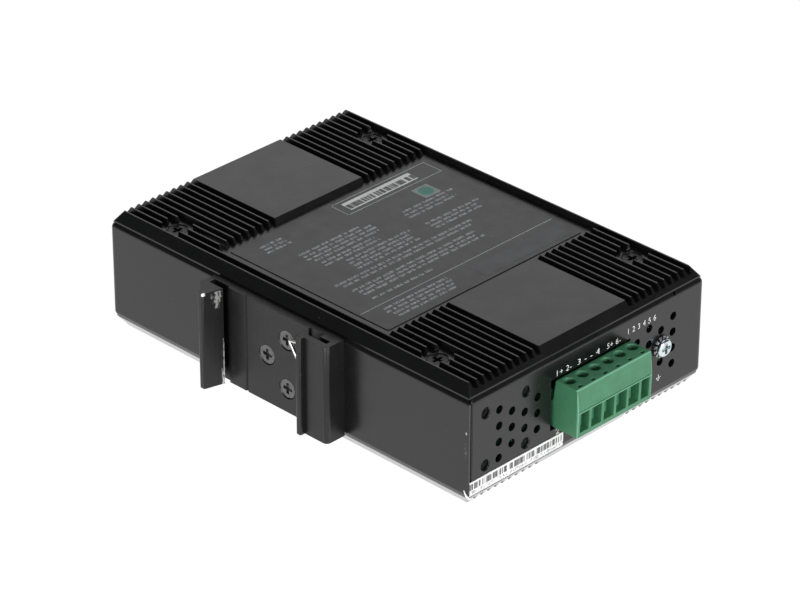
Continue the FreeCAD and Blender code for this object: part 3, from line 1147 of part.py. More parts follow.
def main_board():
    body = new_body("main_board")
    seat(body, "0", "0", BOARD_LEVEL)
    plan = new_sketch(body, "board_plan", "XY_Plane")
    rectangle(plan, f"-{HALF_LENGTH} + sizes.board_tail_gap", f"{HALF_LENGTH} - sizes.board_end_gap",
              f"-{HALF_DEPTH} + sizes.board_rear_gap", f"{HALF_DEPTH} - sizes.board_front_gap")
    for x, y, level in mount_places("0"):
        disc(plan, x, y, "sizes.screw_shank + sizes.shank_clear")
    for index in POLES:
        disc(plan, f"{HALF_LENGTH} - sizes.header_back + 1.5 * sizes.pin_size",
             f"sizes.plug_y + {pole_y(index)}", "3 * sizes.pin_size / 4 + sizes.shank_clear")
    pad(body, "board_laminate", plan, "sizes.board_thick", "One side", True)
    return named(body, "main_board")


def board_fixings():
    stand = new_body("standoff")
    hexagon = new_sketch(stand, "standoff_hexagon", "XY_Plane")
    outline(hexagon, [(f"sizes.standoff_radius * cos({angle})", f"sizes.standoff_radius * sin({angle})")
                      for angle in range(0, 360, 60)])
    disc(hexagon, "0", "0", "sizes.screw_shank + sizes.shank_clear / 2")
    rise = f"({WRAP_HEIGHT} / 2 - sizes.board_top - sizes.board_thick)"
    pad(stand, "standoff_post", hexagon, rise)
    copies("board_standoffs", stand, mount_places(f"-{WRAP_HEIGHT} / 2"))
    screw = new_body("board_screw")
    half = new_sketch(screw, "board_screw_half", "XZ_Plane")
    top = "sizes.board_screw_head"
    foot = "-sizes.board_screw_length"
    outline(half, [("0", top), ("0.85 * sizes.standoff_radius", top), ("sizes.standoff_radius", "0"),
                   ("sizes.screw_shank", "0"), ("sizes.screw_shank", foot), ("0", foot)])
    revolve(screw, "board_screw_turned", half)
    cross_recess(screw, "board_screw", top)
    copies("board_screws", screw, mount_places(BOARD_LEVEL))


# Ports: five shielded jacks in a column, each with eight spring contacts and two lamps
def port_jack(index):
    name = f"port_jack_{index + 1}"
    body = new_body(name)
    seat(body, port_x(index), "0", BOARD_LEVEL)
    face = new_sketch(body, f"{name}_face", "XZ_Plane", f"-{JACK_FRONT}")
    rectangle(face, "-sizes.jack_width / 2", "sizes.jack_width / 2", "0", "sizes.jack_height")
    pad(body, f"{name}_moulding", face, "sizes.jack_depth")
    opening = new_sketch(body, f"{name}_opening", "XZ_Plane", f"-{JACK_FRONT}")
    roof = "(sizes.port_sill + sizes.port_height)"
    outline(opening, [
        ("-sizes.port_width / 2", "sizes.port_sill"), ("sizes.port_width / 2", "sizes.port_sill"),
        ("sizes.port_width / 2", roof), ("sizes.latch_width / 2", roof),
        ("sizes.latch_width / 2", f"{roof} + sizes.latch_height"),
        ("-sizes.latch_width / 2", f"{roof} + sizes.latch_height"),
        ("-sizes.latch_width / 2", roof), ("-sizes.port_width / 2", roof),
    ])
    pocket(body, f"{name}_port", opening, "sizes.port_depth", "One side", True)
    lamps = new_sketch(body, f"{name}_lamps", "XZ_Plane", f"-{JACK_FRONT}")
    for sign in ("-", ""):
        middle = f"{sign}{LAMP_REACH}"
        rectangle(lamps, f"{middle} - sizes.lamp_width / 2", f"{middle} + sizes.lamp_width / 2",
                  f"{LAMP_TOP} - sizes.lamp_height", LAMP_TOP)
    pocket(body, f"{name}_lamp_seats", lamps, "2 * sizes.lamp_width", "One side", True)
    return named(body, name)


def jack_fittings():
    shield = new_body("jack_shield")
    section = new_sketch(shield, "shield_section", "XZ_Plane", f"-{JACK_FRONT}")
    inner = "(sizes.jack_width / 2)"
    outer = "(sizes.jack_width / 2 + sizes.shield)"
    top = "(sizes.jack_height + sizes.shield)"
    outline(section, [(outer, "0"), (outer, top), (f"-{outer}", top), (f"-{outer}", "0"),
                      (f"-{inner}", "0"), (f"-{inner}", "sizes.jack_height"),
                      (inner, "sizes.jack_height"), (inner, "0")])
    pad(shield, "shield_wrap", section, "sizes.jack_depth")
    back = new_sketch(shield, "shield_back", "XZ_Plane", f"-{JACK_FRONT} + sizes.jack_depth")
    rectangle(back, f"-{outer}", outer, "0", top)
    pad(shield, "shield_rear", back, "sizes.shield")
    copies("jack_shields", shield, [(port_x(index), "0", BOARD_LEVEL) for index in PORTS])

    # Wires lean up from the sill towards the back of each port
    wires = new_body("jack_wire_set")
    wire_span = "((sizes.wire_count - 1) * sizes.wire_pitch)"
    side = new_sketch(wires, "wire_side", "YZ_Plane", f"-{wire_span} / 2")
    front = f"({JACK_FRONT} - sizes.wire_start)"
    back = f"({front} - sizes.wire_run)"
    outline(side, [(front, "sizes.port_sill"), (f"{front} - sizes.wire_thick", "sizes.port_sill"),
                   (back, "sizes.port_sill + sizes.wire_rise"),
                   (back, "sizes.port_sill + sizes.wire_rise + sizes.wire_thick")])
    wire = pad(wires, "wire_one", side, "sizes.wire_width", "Symmetric")
    row = wires.newObject("PartDesign::LinearPattern", "wire_row")
    row.Originals = [wire]
    row.Direction = (side, ["N_Axis"])
    row.setExpression("Length", wire_span)
    row.setExpression("Occurrences", "sizes.wire_count")
    wires.Tip = row
    copies("jack_contacts", wires, [(port_x(index), "0", BOARD_LEVEL) for index in PORTS])

    lamp = new_body("port_lamp")
    lens = new_sketch(lamp, "lamp_lens", "XZ_Plane", f"-{JACK_FRONT}")
    rectangle(lens, "-sizes.lamp_width / 2", "sizes.lamp_width / 2", "-sizes.lamp_height", "0")
    pad(lamp, "lamp_body", lens, "2 * sizes.lamp_width")
    places = []
    for index in PORTS:
        for sign in ("-", "+"):
            places.append((f"{port_x(index)} {sign} {LAMP_REACH}", "0", f"{BOARD_LEVEL} + {LAMP_TOP}"))
    copies("jack_lamps", lamp, places)


def status_lights():
    """Clear light pipes at the port face, each over a small lamp on the board."""
    pipe = new_body("light_pipe")
    face = new_sketch(pipe, "pipe_face", "XZ_Plane", f"-{HALF_DEPTH} - sizes.film")
    disc(face, "0", "sizes.status_rise", "sizes.pipe_radius")
    pad(pipe, "pipe_rod", face, "sizes.pipe_length")
    foot = new_sketch(pipe, "pipe_foot", "XZ_Plane", f"-{HALF_DEPTH} + sizes.pipe_foot")
    rectangle(foot, "-sizes.pipe_radius", "sizes.pipe_radius", "sizes.chip_lamp_height",
              "sizes.status_rise")
    pad(pipe, "pipe_leg", foot, "2 * sizes.pipe_radius")
    places = [(status_x(index), "0", BOARD_LEVEL) for index in LIGHTS]
    copies("light_pipes", pipe, places)
    lamp = block("status_lamp", "sizes.chip_lamp_length", "sizes.chip_lamp_width",
                 "sizes.chip_lamp_height")
    lamp_y = f"{HALF_DEPTH} - sizes.pipe_foot - sizes.pipe_radius"
    copies("status_lamps", lamp, [(x, lamp_y, z) for x, y, z in places])


# Electronics: the large switch chip under its heat sink
def switch_chip_stack():
    chip = block("switch_chip", "sizes.chip_size", "sizes.chip_size", "sizes.chip_height")
    seat(chip, "sizes.chip_x", "sizes.chip_y", BOARD_LEVEL)
    named(chip, "switch_chip")
    cushion = block("thermal_pad", "sizes.thermal_size", "sizes.thermal_size", "sizes.thermal_height")
    chip_top = f"{BOARD_LEVEL} + sizes.chip_height"
    seat(cushion, "sizes.chip_x", "sizes.chip_y", chip_top)
    named(cushion, "thermal_pad")
    sink = new_body("chip_heatsink")
    seat(sink, "sizes.chip_x", "sizes.chip_y", f"{chip_top} + sizes.thermal_height")
    profile = new_sketch(sink, "sink_profile", "XZ_Plane")
    half = "(sizes.sink_size / 2)"
    rectangle(profile, f"-{half}", half, "0", "sizes.sink_height")
    pad(sink, "sink_bar", profile, "sizes.sink_size", "Symmetric")
    gap = new_sketch(sink, "sink_slot", "XZ_Plane")
    first = f"(-{half} + sizes.sink_fin)"
    rectangle(gap, first, f"{first} + sizes.sink_gap", "sizes.sink_base",
              "sizes.sink_height + sizes.overrun")
    cut = pocket(sink, "sink_slot_cut", gap, None, "Symmetric")
    row = sink.newObject("PartDesign::LinearPattern", "sink_fins")
    row.Originals = [cut]
    row.Direction = (gap, ["H_Axis"])
    row.setExpression("Length", "sizes.sink_size - 2 * sizes.sink_fin - sizes.sink_gap")
    row.setExpression("Occurrences", "sizes.sink_gaps")
    sink.Tip = row
    named(sink, "chip_heatsink")


# The block-shaped parts: length, width, height and corner radius, then the place on the board
BLOCKS = [
    ("alarm_relay", 10, 20, 10.5, 0.5, f"{HALF_LENGTH} - 34", "-28"),
    ("power_inductor", 12, 12, 7, 2, f"{HALF_LENGTH} - 52", "-30"),
    ("power_regulator", 10, 9, 4.4, 0, f"{HALF_LENGTH} - 52", "-14"),
    ("input_fuse", 7.4, 3.2, 2.6, 0, f"{HALF_LENGTH} - 20", "-24"),
    ("memory_chip", 5, 4, 1.6, 0, "-34", "-12"),
    ("clock_crystal", 11.2, 4.6, 3.6, 2.2, "-34", "-2"),
]
# A transformer block stands behind each port: length, width and height
TRANSFORMER = (16, 8.5, 6)


def board_blocks():
    for name, length, width, height, corner, x, y in BLOCKS:
        item = block(name, length, width, height)
        seat(item, x, y, BOARD_LEVEL)
        if corner:
            fillet(item, f"{name}_corners", item.Tip, upright, f"{corner}")
        named(item, name)
    coil = block("port_transformer", *TRANSFORMER)
    behind = f"{JACK_FRONT} - sizes.jack_depth - sizes.shield - {TRANSFORMER[1]}"
    copies("port_transformers", coil, [(port_x(index), behind, BOARD_LEVEL) for index in PORTS])


def capacitors_and_choke():
    can = new_body("capacitor_can")
    plan = new_sketch(can, "capacitor_plan", "XY_Plane")
    disc(plan, "0", "0", "sizes.can_radius")
    drum = pad(can, "capacitor_drum", plan, "sizes.can_height")

    def top_edge(edge):
        return near(edge.BoundBox.ZMin, size("can_height"))

    fillet(can, "capacitor_edge", drum, top_edge, "sizes.can_edge")
    x = f"{HALF_LENGTH} - sizes.can_from_end"
    copies("bulk_capacitors", can, [(x, f"{step} * sizes.can_pitch", BOARD_LEVEL) for step in (-1, 0, 1)])

    choke = doc.addObject("Part::Torus", "input_choke")
    choke.setExpression("Radius1", "sizes.choke_ring")
    choke.setExpression("Radius2", "sizes.choke_coil")
    seat(choke, f"{HALF_LENGTH} - sizes.choke_from_end", "sizes.choke_y", f"{BOARD_LEVEL} + sizes.choke_coil")
    named(choke, "input_choke")


chassis_wrap()
side_cover("side_cover_upper", f"{WRAP_HEIGHT} / 2", False)
side_cover("side_cover_lower", f"-{WRAP_HEIGHT} / 2", True)
cover_screws()
side_label()
barcode_strip()
front_overlay()
din_clip()
din_spring()
clip_fasteners()
terminal_end_fasteners()
terminal_plug()
plug_contacts()
for pole in POLES:
    terminal_screw(pole)
    wire_clamp(pole)
terminal_header()
header_pins()
main_board()
board_fixings()
for port in PORTS:
    port_jack(port)
jack_fittings()
status_lights()
switch_chip_stack()
board_blocks()
capacitors_and_choke()
doc.recompute()

for item in doc.Objects:
    if "Invalid" in item.State or "Error" in item.State:
        raise RuntimeError(f"{item.Label} did not build: {item.State}")
for item in sub_parts:
    if item.Shape.isNull() or not item.Shape.isValid():
        raise RuntimeError(f"{item.Label} has no valid solid")

os.makedirs("parts", exist_ok=True)
for item in sub_parts:
    item.Shape.exportStep(f"parts/{item.Label}.step")
    solids = len(item.Shape.Solids)
    print(f"{item.Label}: {solids} solid(s), {item.Shape.Volume / 1000:.3f} cm3")
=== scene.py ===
import math
import random

import bmesh
import bpy
from mathutils import Matrix, Quaternion, Vector


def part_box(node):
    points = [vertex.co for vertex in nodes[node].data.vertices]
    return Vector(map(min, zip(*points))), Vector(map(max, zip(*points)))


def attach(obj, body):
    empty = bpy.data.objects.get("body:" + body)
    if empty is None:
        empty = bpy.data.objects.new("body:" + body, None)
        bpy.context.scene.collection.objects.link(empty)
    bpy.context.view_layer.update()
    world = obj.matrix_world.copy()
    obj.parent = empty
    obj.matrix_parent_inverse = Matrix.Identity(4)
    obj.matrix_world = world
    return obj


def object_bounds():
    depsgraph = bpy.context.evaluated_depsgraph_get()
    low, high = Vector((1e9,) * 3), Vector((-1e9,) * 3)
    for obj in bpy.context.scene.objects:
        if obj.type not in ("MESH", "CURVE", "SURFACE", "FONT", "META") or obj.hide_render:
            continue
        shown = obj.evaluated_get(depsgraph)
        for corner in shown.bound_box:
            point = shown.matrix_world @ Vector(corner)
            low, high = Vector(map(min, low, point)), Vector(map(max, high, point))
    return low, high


# A slim network switch for a top-hat rail, lying on one of its two ribbed covers. X runs along the
# housing to the terminal end, Y from the rail clip to the ports, and Z up through the thickness.
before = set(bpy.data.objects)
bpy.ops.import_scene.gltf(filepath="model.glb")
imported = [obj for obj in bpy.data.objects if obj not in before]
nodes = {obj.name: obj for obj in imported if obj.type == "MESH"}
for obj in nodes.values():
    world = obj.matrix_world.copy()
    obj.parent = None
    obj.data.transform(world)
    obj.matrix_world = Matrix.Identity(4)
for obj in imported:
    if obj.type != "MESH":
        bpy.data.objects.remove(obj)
cad_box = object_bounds()

# Sheet wrap
# One steel sheet bent round the four narrow sides, its two ends meeting in an open seam at the
# terminal end. It is powder coated satin black, and handling has rubbed the coat off at the seam.
MM = 0.001
wrap_low, wrap_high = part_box("chassis_wrap")
middle = (wrap_low + wrap_high) / 2


def add_step(material, kind, feeds, **settings):
    """A new node in a material or the world, fed with numbers, colours or other outputs."""
    step = material.node_tree.nodes.new(kind)
    for setting, choice in settings.items():
        setattr(step, setting, choice)
    for socket, feed in feeds.items():
        if isinstance(feed, bpy.types.NodeSocket):
            material.node_tree.links.new(feed, step.inputs[socket])
        else:
            step.inputs[socket].default_value = feed
    return step


def start_finish(name, colour, roughness, metallic=0.0):
    """A new material: its shader, and its own place in metres for the patterns on it."""
    material = bpy.data.materials.new(name)
    material.use_nodes = True
    shader = material.node_tree.nodes["Principled BSDF"]
    shader.inputs["Base Color"].default_value = (*colour, 1.0)
    shader.inputs["Roughness"].default_value = roughness
    shader.inputs["Metallic"].default_value = metallic
    place = add_step(material, "ShaderNodeTexCoord", {})
    add_step(material, "ShaderNodeSeparateXYZ", {0: place.outputs["Object"]})
    return material


def place_of(material):
    """The place on the piece, for a pattern to read."""
    return material.node_tree.nodes["Texture Coordinate"].outputs["Object"]


def blotches(material, size, detail=2.0, squash=(1.0, 1.0, 1.0)):
    """Noise round 0.5 with blotches of about the given size, squashed along the axes."""
    shaped = add_step(material, "ShaderNodeMapping", {"Vector": place_of(material), "Scale": squash})
    feeds = {"Vector": shaped.outputs["Vector"], "Scale": 1 / size, "Detail": detail}
    return add_step(material, "ShaderNodeTexNoise", feeds).outputs["Fac"]


def spread(material, value, low, high, start=0.0, end=1.0):
    """Carries a value from low and high over to start and end, and holds it there."""
    feeds = {"Value": value, "From Min": low, "From Max": high, "To Min": start, "To Max": end}
    return add_step(material, "ShaderNodeMapRange", feeds).outputs["Result"]


def times(material, first, *others):
    """The product of several masks."""
    for other in others:
        first = add_step(material, "ShaderNodeMath", {0: first, 1: other}, operation="MULTIPLY").outputs[0]
    return first


def span_mask(material, axis, low, high, soft=0.05 * MM):
    """1 between two places along an axis, 0 outside them, with soft ends."""
    along = material.node_tree.nodes["Separate XYZ"].outputs[axis]
    rising = spread(material, along, low - soft, low + soft)
    falling = spread(material, along, high - soft, high + soft, 1.0, 0.0)
    return times(material, rising, falling)


def patch_mask(material, x, y, z, soft=0.1 * MM):
    """1 inside a box given by its spans along X, Y and Z, 0 outside, with soft sides."""
    sides = [span_mask(material, axis, *span, soft) for axis, span in zip("XYZ", (x, y, z))]
    return times(material, *sides)


def feed_of(socket):
    """What a socket has now: the output linked to it, or its own value."""
    if socket.links:
        return socket.links[0].from_socket
    value = socket.default_value
    return value if isinstance(value, float) else tuple(value)


def lay_over(material, mask, colour=None, roughness=None, metallic=None):
    """Another colour, roughness or metal over the finish, where the mask is high."""
    shader = material.node_tree.nodes["Principled BSDF"]
    links = material.node_tree.links
    if colour is not None:
        now = feed_of(shader.inputs["Base Color"])
        mix = add_step(material, "ShaderNodeMix", {0: mask, 6: now, 7: (*colour, 1.0)}, data_type="RGBA")
        links.new(mix.outputs[2], shader.inputs["Base Color"])
    for name, value in (("Roughness", roughness), ("Metallic", metallic)):
        if value is not None:
            mix = add_step(material, "ShaderNodeMix", {0: mask, 2: feed_of(shader.inputs[name]), 3: value})
            links.new(mix.outputs[0], shader.inputs[name])


def raise_by(material, height, depth):
    """Bumps of the given depth over the bumps that the finish has already."""
    shader = material.node_tree.nodes["Principled BSDF"]
    feeds = {"Height": height, "Distance": depth}
    if shader.inputs["Normal"].links:
        feeds["Normal"] = feed_of(shader.inputs["Normal"])
    bump = add_step(material, "ShaderNodeBump", feeds)
    material.node_tree.links.new(bump.outputs["Normal"], shader.inputs["Normal"])


def give(finish, *names):
    """Puts a finish on CAD nodes."""
    for name in names:
        nodes[name].material_slots[0].material = finish


def powder_coat(name, colour, roughness, peel):
    """Black coat with a fine peel, a slightly uneven gloss and a few specks of dust."""
    coat = start_finish(name, colour, roughness)
    lay_over(coat, spread(coat, blotches(coat, 9 * MM), 0.35, 0.7), roughness=roughness + 0.07)
    raise_by(coat, blotches(coat, 0.6 * MM), peel)
    raise_by(coat, blotches(coat, 0.16 * MM), peel / 3)
    dust = spread(coat, blotches(coat, 0.55 * MM, 1.0), 0.79, 0.83, 0.0, 0.5)
    lay_over(coat, dust, colour=(0.16, 0.16, 0.16), roughness=0.8)
    return coat


wrap_coat = powder_coat("wrap_coat", (0.006, 0.006, 0.0066), 0.23, 0.004 * MM)

# The sheet's end face is a lighter grey down the seam, and the bend beside it is chipped and scuffed
seam_x = wrap_high.x
seam_y = wrap_low.y
sheet_end = patch_mask(
    wrap_coat,
    (seam_x - 0.1 * MM, seam_x + MM),
    (seam_y + 0.3 * MM, seam_y + MM),
    (wrap_low.z, wrap_high.z - MM),
)
lay_over(wrap_coat, sheet_end, colour=(0.05, 0.05, 0.051), roughness=0.5)
bend_face = (seam_y - MM, seam_y + 0.2 * MM)
chip_height = middle.z + 5.1 * MM
chip_radius = 0.35 * MM
chip = patch_mask(
    wrap_coat,
    (seam_x - 1.05 * MM, seam_x - 0.6 * MM),
    bend_face,
    (chip_height - chip_radius, chip_height + chip_radius),
    0.15 * MM,
)
lay_over(wrap_coat, chip, colour=(0.6, 0.6, 0.58), roughness=0.5)
scuffs = patch_mask(
    wrap_coat,
    (seam_x - 1.4 * MM, seam_x - 0.6 * MM),
    bend_face,
    (middle.z - 3.4 * MM, middle.z + 2.0 * MM),
    0.2 * MM,
)
scuff_grain = spread(wrap_coat, blotches(wrap_coat, 0.5 * MM, 3.0, (1.0, 1.0, 0.6)), 0.5, 0.6, 0.0, 0.8)
lay_over(wrap_coat, times(wrap_coat, scuffs, scuff_grain), colour=(0.16, 0.16, 0.16), roughness=0.6)
give(wrap_coat, "chassis_wrap")

# Press nuts and earth screw
# Zinc plated nuts pressed into the sheet for the brackets, the clip and the earth screw. The earth
# screw is bright, with a domed cross-recess head over an external-tooth washer.
def metal(name, colour, roughness, brush=(1.0, 1.0, 1.0)):
    """Plated metal with fine streaks or a fine grain in its gloss."""
    plate = start_finish(name, colour, roughness, 1.0)
    grain = blotches(plate, 0.25 * MM, 3.0, brush)
    lay_over(plate, spread(plate, grain, 0.3, 0.75), roughness=roughness + 0.16)
    raise_by(plate, grain, 0.002 * MM)
    tarnish = spread(plate, blotches(plate, 2.2 * MM), 0.45, 0.8, 0.0, 0.35)
    lay_over(plate, tarnish, colour=tuple(0.62 * part for part in colour))
    return plate


def soften(name, width):
    """Joins a CAD node's loose faces and breaks its sharp edges, as a mould or a tumbler does."""
    nodes[name].modifiers.new("join", "WELD").merge_threshold = 0.0005 * MM
    edge = nodes[name].modifiers.new("edge", "BEVEL")
    edge.width = width
    edge.segments = 2
    edge.limit_method = "ANGLE"
    edge.angle_limit = math.radians(40)
    edge.harden_normals = True


zinc = metal("zinc_plate", (0.5, 0.51, 0.52), 0.32)
give(zinc, "bracket_press_nuts", "ground_press_nut", "clip_press_nuts")
give(metal("washer_steel", (0.3, 0.3, 0.31), 0.34), "ground_washer")
give(metal("bright_nickel", (0.7, 0.77, 0.79), 0.16), "ground_screw")
soften("ground_screw", 0.08 * MM)
soften("ground_washer", 0.08 * MM)

# Main board
# Green solder resist over copper tracks on glass laminate, held by four brass standoffs and
# cross-head screws. Only the vents and the terminal opening give a sight of it.
resist = start_finish("solder_resist", (0.02, 0.11, 0.045), 0.32)
tracks = add_step(
    resist,
    "ShaderNodeTexBrick",
    {
        "Vector": place_of(resist),
        "Scale": 1.0,
        "Brick Width": 7 * MM,
        "Row Height": 1.3 * MM,
        "Mortar Size": 0.22 * MM,
    },
)
lay_over(resist, tracks.outputs["Fac"], colour=(0.035, 0.17, 0.065))
raise_by(resist, tracks.outputs["Fac"], 0.03 * MM)
glass_weave = blotches(resist, 0.4 * MM)
raise_by(resist, glass_weave, 0.004 * MM)
give(resist, "main_board")
give(zinc, "board_standoffs", "board_screws")

# Electronics on the board
# Moulded packages with a matt skin, a finned black heat sink on a grey pad over the switch chip, a
# blue relay, three sleeved capacitors, a wound choke, and small cans and blocks.
def moulding(name, colour, roughness, grain_size, grain_depth):
    """Moulded plastic or ceramic: an even colour with a slight cloudiness and a matt grain."""
    skin = start_finish(name, colour, roughness)
    cloud = spread(skin, blotches(skin, 4 * MM), 0.35, 0.7)
    lay_over(skin, cloud, colour=tuple(0.86 * part for part in colour), roughness=roughness + 0.06)
    raise_by(skin, blotches(skin, grain_size), grain_depth)
    return skin


chip_package = moulding("chip_package", (0.02, 0.02, 0.021), 0.55, 0.08 * MM, 0.003 * MM)
give(chip_package, "switch_chip", "memory_chip")
give(moulding("transformer_case", (0.018, 0.018, 0.02), 0.5, 0.1 * MM, 0.004 * MM), "port_transformers")
give(moulding("regulator_case", (0.025, 0.025, 0.026), 0.5, 0.1 * MM, 0.004 * MM), "power_regulator")
give(moulding("soft_pad", (0.3, 0.32, 0.35), 0.85, 0.3 * MM, 0.01 * MM), "thermal_pad")
give(metal("sink_anodising", (0.03, 0.03, 0.032), 0.4, (1.0, 0.05, 1.0)), "chip_heatsink")
give(moulding("relay_case", (0.03, 0.07, 0.28), 0.3, 0.5 * MM, 0.003 * MM), "alarm_relay")
give(moulding("pressed_ferrite", (0.06, 0.06, 0.065), 0.7, 0.15 * MM, 0.01 * MM), "power_inductor")
give(moulding("white_ceramic", (0.68, 0.67, 0.62), 0.4, 0.2 * MM, 0.003 * MM), "input_fuse")
give(metal("drawn_can", (0.66, 0.66, 0.65), 0.25), "clock_crystal")

# The sleeves stop short of the bare aluminium tops of the cans
sleeve = moulding("capacitor_sleeve", (0.02, 0.025, 0.06), 0.35, 0.4 * MM, 0.003 * MM)
can_low, can_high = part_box("bulk_capacitors")
can_top = span_mask(sleeve, "Z", can_high.z - 0.35 * MM, can_high.z + MM)
lay_over(sleeve, can_top, colour=(0.62, 0.62, 0.62), roughness=0.35, metallic=1.0)
give(sleeve, "bulk_capacitors")

# The choke's copper turns are ridges round its ring, with painted shade in the troughs between them
choke_low, choke_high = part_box("input_choke")
choke_turns = 40
winding = start_finish("enamelled_copper", (0.5, 0.2, 0.07), 0.3, 1.0)
choke_middle = (choke_low + choke_high) / 2
centring = {0: place_of(winding), 1: choke_middle}
centred = add_step(winding, "ShaderNodeVectorMath", centring, operation="SUBTRACT").outputs[0]
round_ring = add_step(winding, "ShaderNodeTexGradient", {"Vector": centred}, gradient_type="RADIAL")
ridges = times(winding, round_ring.outputs["Fac"], choke_turns * math.tau)
waves = add_step(winding, "ShaderNodeMath", {0: ridges}, operation="SINE").outputs[0]
raise_by(winding, waves, 0.25 * MM)
# Painted shade: darker copper in the troughs between the turns
lay_over(winding, spread(winding, waves, 0.0, -1.0), colour=(0.2, 0.06, 0.02))
give(winding, "input_choke")

# Terminal header and plug
# The header and the plug are one green polyamide. The plug's six poles each hold a slotted screw
# in a well, a rising cage behind a wire window, and a tinned contact on the header's pin.
green = moulding("green_polyamide", (0.056, 0.215, 0.106), 0.4, 0.35 * MM, 0.006 * MM)
rub = spread(green, blotches(green, 0.8 * MM, 4.0), 0.62, 0.72, 0.0, 0.25)
lay_over(green, rub, colour=(0.12, 0.34, 0.19), roughness=0.55)

# The plug's front is creased across its middle, with painted shade in the crease, a painted highlight under
# it and painted highlights on its outer front edges
plug_low, plug_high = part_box("terminal_plug")
crease_level = middle.z + 0.8 * MM
ahead = (plug_high.x - 0.6 * MM, plug_high.x + MM)
full_y = (plug_low.y - MM, plug_high.y + MM)
full_z = (plug_low.z - MM, plug_high.z + MM)
crease_span = (crease_level - 0.12 * MM, crease_level + 0.12 * MM)
crease_shade = patch_mask(green, ahead, full_y, crease_span, 0.04 * MM)
# Dark green painted along the crease as its shade
lay_over(green, crease_shade, colour=(0.02, 0.11, 0.05))
# Pale green painted as highlights: a line under the crease, the two side edges and the top front edge
edge_highlight_green = (0.16, 0.4, 0.26)
for highlight_spans in (
    (ahead, full_y, (crease_level - 0.45 * MM, crease_level - 0.25 * MM)),
    (ahead, (plug_low.y - MM, plug_low.y + 0.25 * MM), full_z),
    (ahead, (plug_high.y - 0.25 * MM, plug_high.y + MM), full_z),
    ((plug_high.x - 1.1 * MM, plug_high.x), full_y, (plug_high.z - 0.4 * MM, plug_high.z - 0.05 * MM)),
):
    lay_over(green, patch_mask(green, *highlight_spans, 0.08 * MM), colour=edge_highlight_green)
give(green, "terminal_header", "terminal_plug")
soften("terminal_plug", 0.1 * MM)
soften("terminal_header", 0.12 * MM)
tin = metal("tin_plate", (0.62, 0.61, 0.58), 0.3, (0.1, 1.0, 1.0))
give(tin, "plug_contacts", "header_pins")
POLES = range(1, 7)
slotted_zinc = metal("slotted_zinc", (0.5, 0.5, 0.47), 0.3)
cage_nickel = metal("cage_nickel", (0.5, 0.49, 0.46), 0.28)
for pole in POLES:
    give(slotted_zinc, f"terminal_screw_{pole}")
    give(cage_nickel, f"wire_clamp_{pole}")
    soften(f"terminal_screw_{pole}", 0.08 * MM)
    soften(f"wire_clamp_{pole}", 0.08 * MM)

# Ports and status lights
# Five black jack mouldings in folded nickel shields, each with eight gold wires and two lamps. Three
# clear light pipes beside them carry the light of small lamps on the board out to the face.
jack_black = moulding("jack_black", (0.016, 0.016, 0.017), 0.42, 0.2 * MM, 0.004 * MM)
PORTS = range(1, 6)
for port in PORTS:
    give(jack_black, f"port_jack_{port}")
    soften(f"port_jack_{port}", 0.12 * MM)
give(metal("shield_nickel", (0.62, 0.61, 0.58), 0.26, (1.0, 0.08, 1.0)), "jack_shields")
give(metal("gold_plate", (0.83, 0.58, 0.22), 0.22), "jack_contacts")
lens = moulding("lamp_lens", (0.55, 0.66, 0.42), 0.25, 0.3 * MM, 0.004 * MM)
lens_shader = lens.node_tree.nodes["Principled BSDF"]
lens_shader.inputs["Subsurface Weight"].default_value = 0.3
lens_shader.inputs["Subsurface Radius"].default_value = (MM, MM, 0.5 * MM)
give(lens, "jack_lamps")
clear = start_finish("clear_acrylic", (0.9, 0.92, 0.91), 0.08)
clear_shader = clear.node_tree.nodes["Principled BSDF"]
clear_shader.inputs["Transmission Weight"].default_value = 0.9
clear_shader.inputs["IOR"].default_value = 1.49
raise_by(clear, blotches(clear, 0.5 * MM), 0.004 * MM)
give(clear, "light_pipes")
give(moulding("lamp_chip", (0.6, 0.56, 0.3), 0.3, 0.2 * MM, 0.003 * MM), "status_lamps")

# Port face film
# A satin dark film over the port side with windows for the jacks and lights. Each port has a plain
# printed number over it.
overlay_low, overlay_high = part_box("front_overlay")
give(moulding("face_film", (0.035, 0.04, 0.047), 0.36, 0.3 * MM, 0.003 * MM), "front_overlay")
white_ink = start_finish("white_ink", (0.78, 0.78, 0.76), 0.55)
thin_ink = spread(white_ink, blotches(white_ink, 0.3 * MM, 4.0), 0.5, 0.75)
lay_over(white_ink, thin_ink, colour=(0.5, 0.5, 0.49))
raise_by(white_ink, blotches(white_ink, 0.15 * MM), 0.003 * MM)


def add_piece(name, shape, finish):
    """Shows a finished mesh of ink or film as a piece of its own, riding on the housing."""
    shape.materials.clear()
    shape.materials.append(finish)
    piece = bpy.data.objects.new(name, shape)
    bpy.context.scene.collection.objects.link(piece)
    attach(piece, "housing")


def print_figures(name, figures, height, turn, seat, width=None):
    """White figures, raised by the ink alone: turned to their face and seated by their middle.
    A width given draws them out or in to it."""
    figure_share = 0.7
    curve = bpy.data.curves.new(name, "FONT")
    curve.body = figures
    curve.size = height / figure_share
    curve.space_character = 1.12
    curve.align_x = "CENTER"
    curve.align_y = "CENTER"
    curve.extrude = 0.012 * MM
    text = bpy.data.objects.new(name, curve)
    shape = bpy.data.meshes.new_from_object(text)
    bpy.data.objects.remove(text)
    if width:
        ends = [vert.co.x for vert in shape.vertices]
        shape.transform(Matrix.Diagonal((width / (max(ends) - min(ends)), 1.0, 1.0, 1.0)))
    shape.transform(turn.to_4x4())
    shape.transform(Matrix.Translation(seat))
    add_piece(name, shape, white_ink)


faces_ports = Matrix(((-1.0, 0.0, 0.0), (0.0, 0.0, 1.0), (0.0, 1.0, 0.0)))
number_height = 1.9 * MM
number_rise = 2.4 * MM
for port in PORTS:
    jack_low, jack_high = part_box(f"port_jack_{port}")
    seat = Vector(((jack_low.x + jack_high.x) / 2, overlay_high.y, jack_high.z + number_rise))
    print_figures(f"port_number_{port}", str(port), number_height, faces_ports, seat)

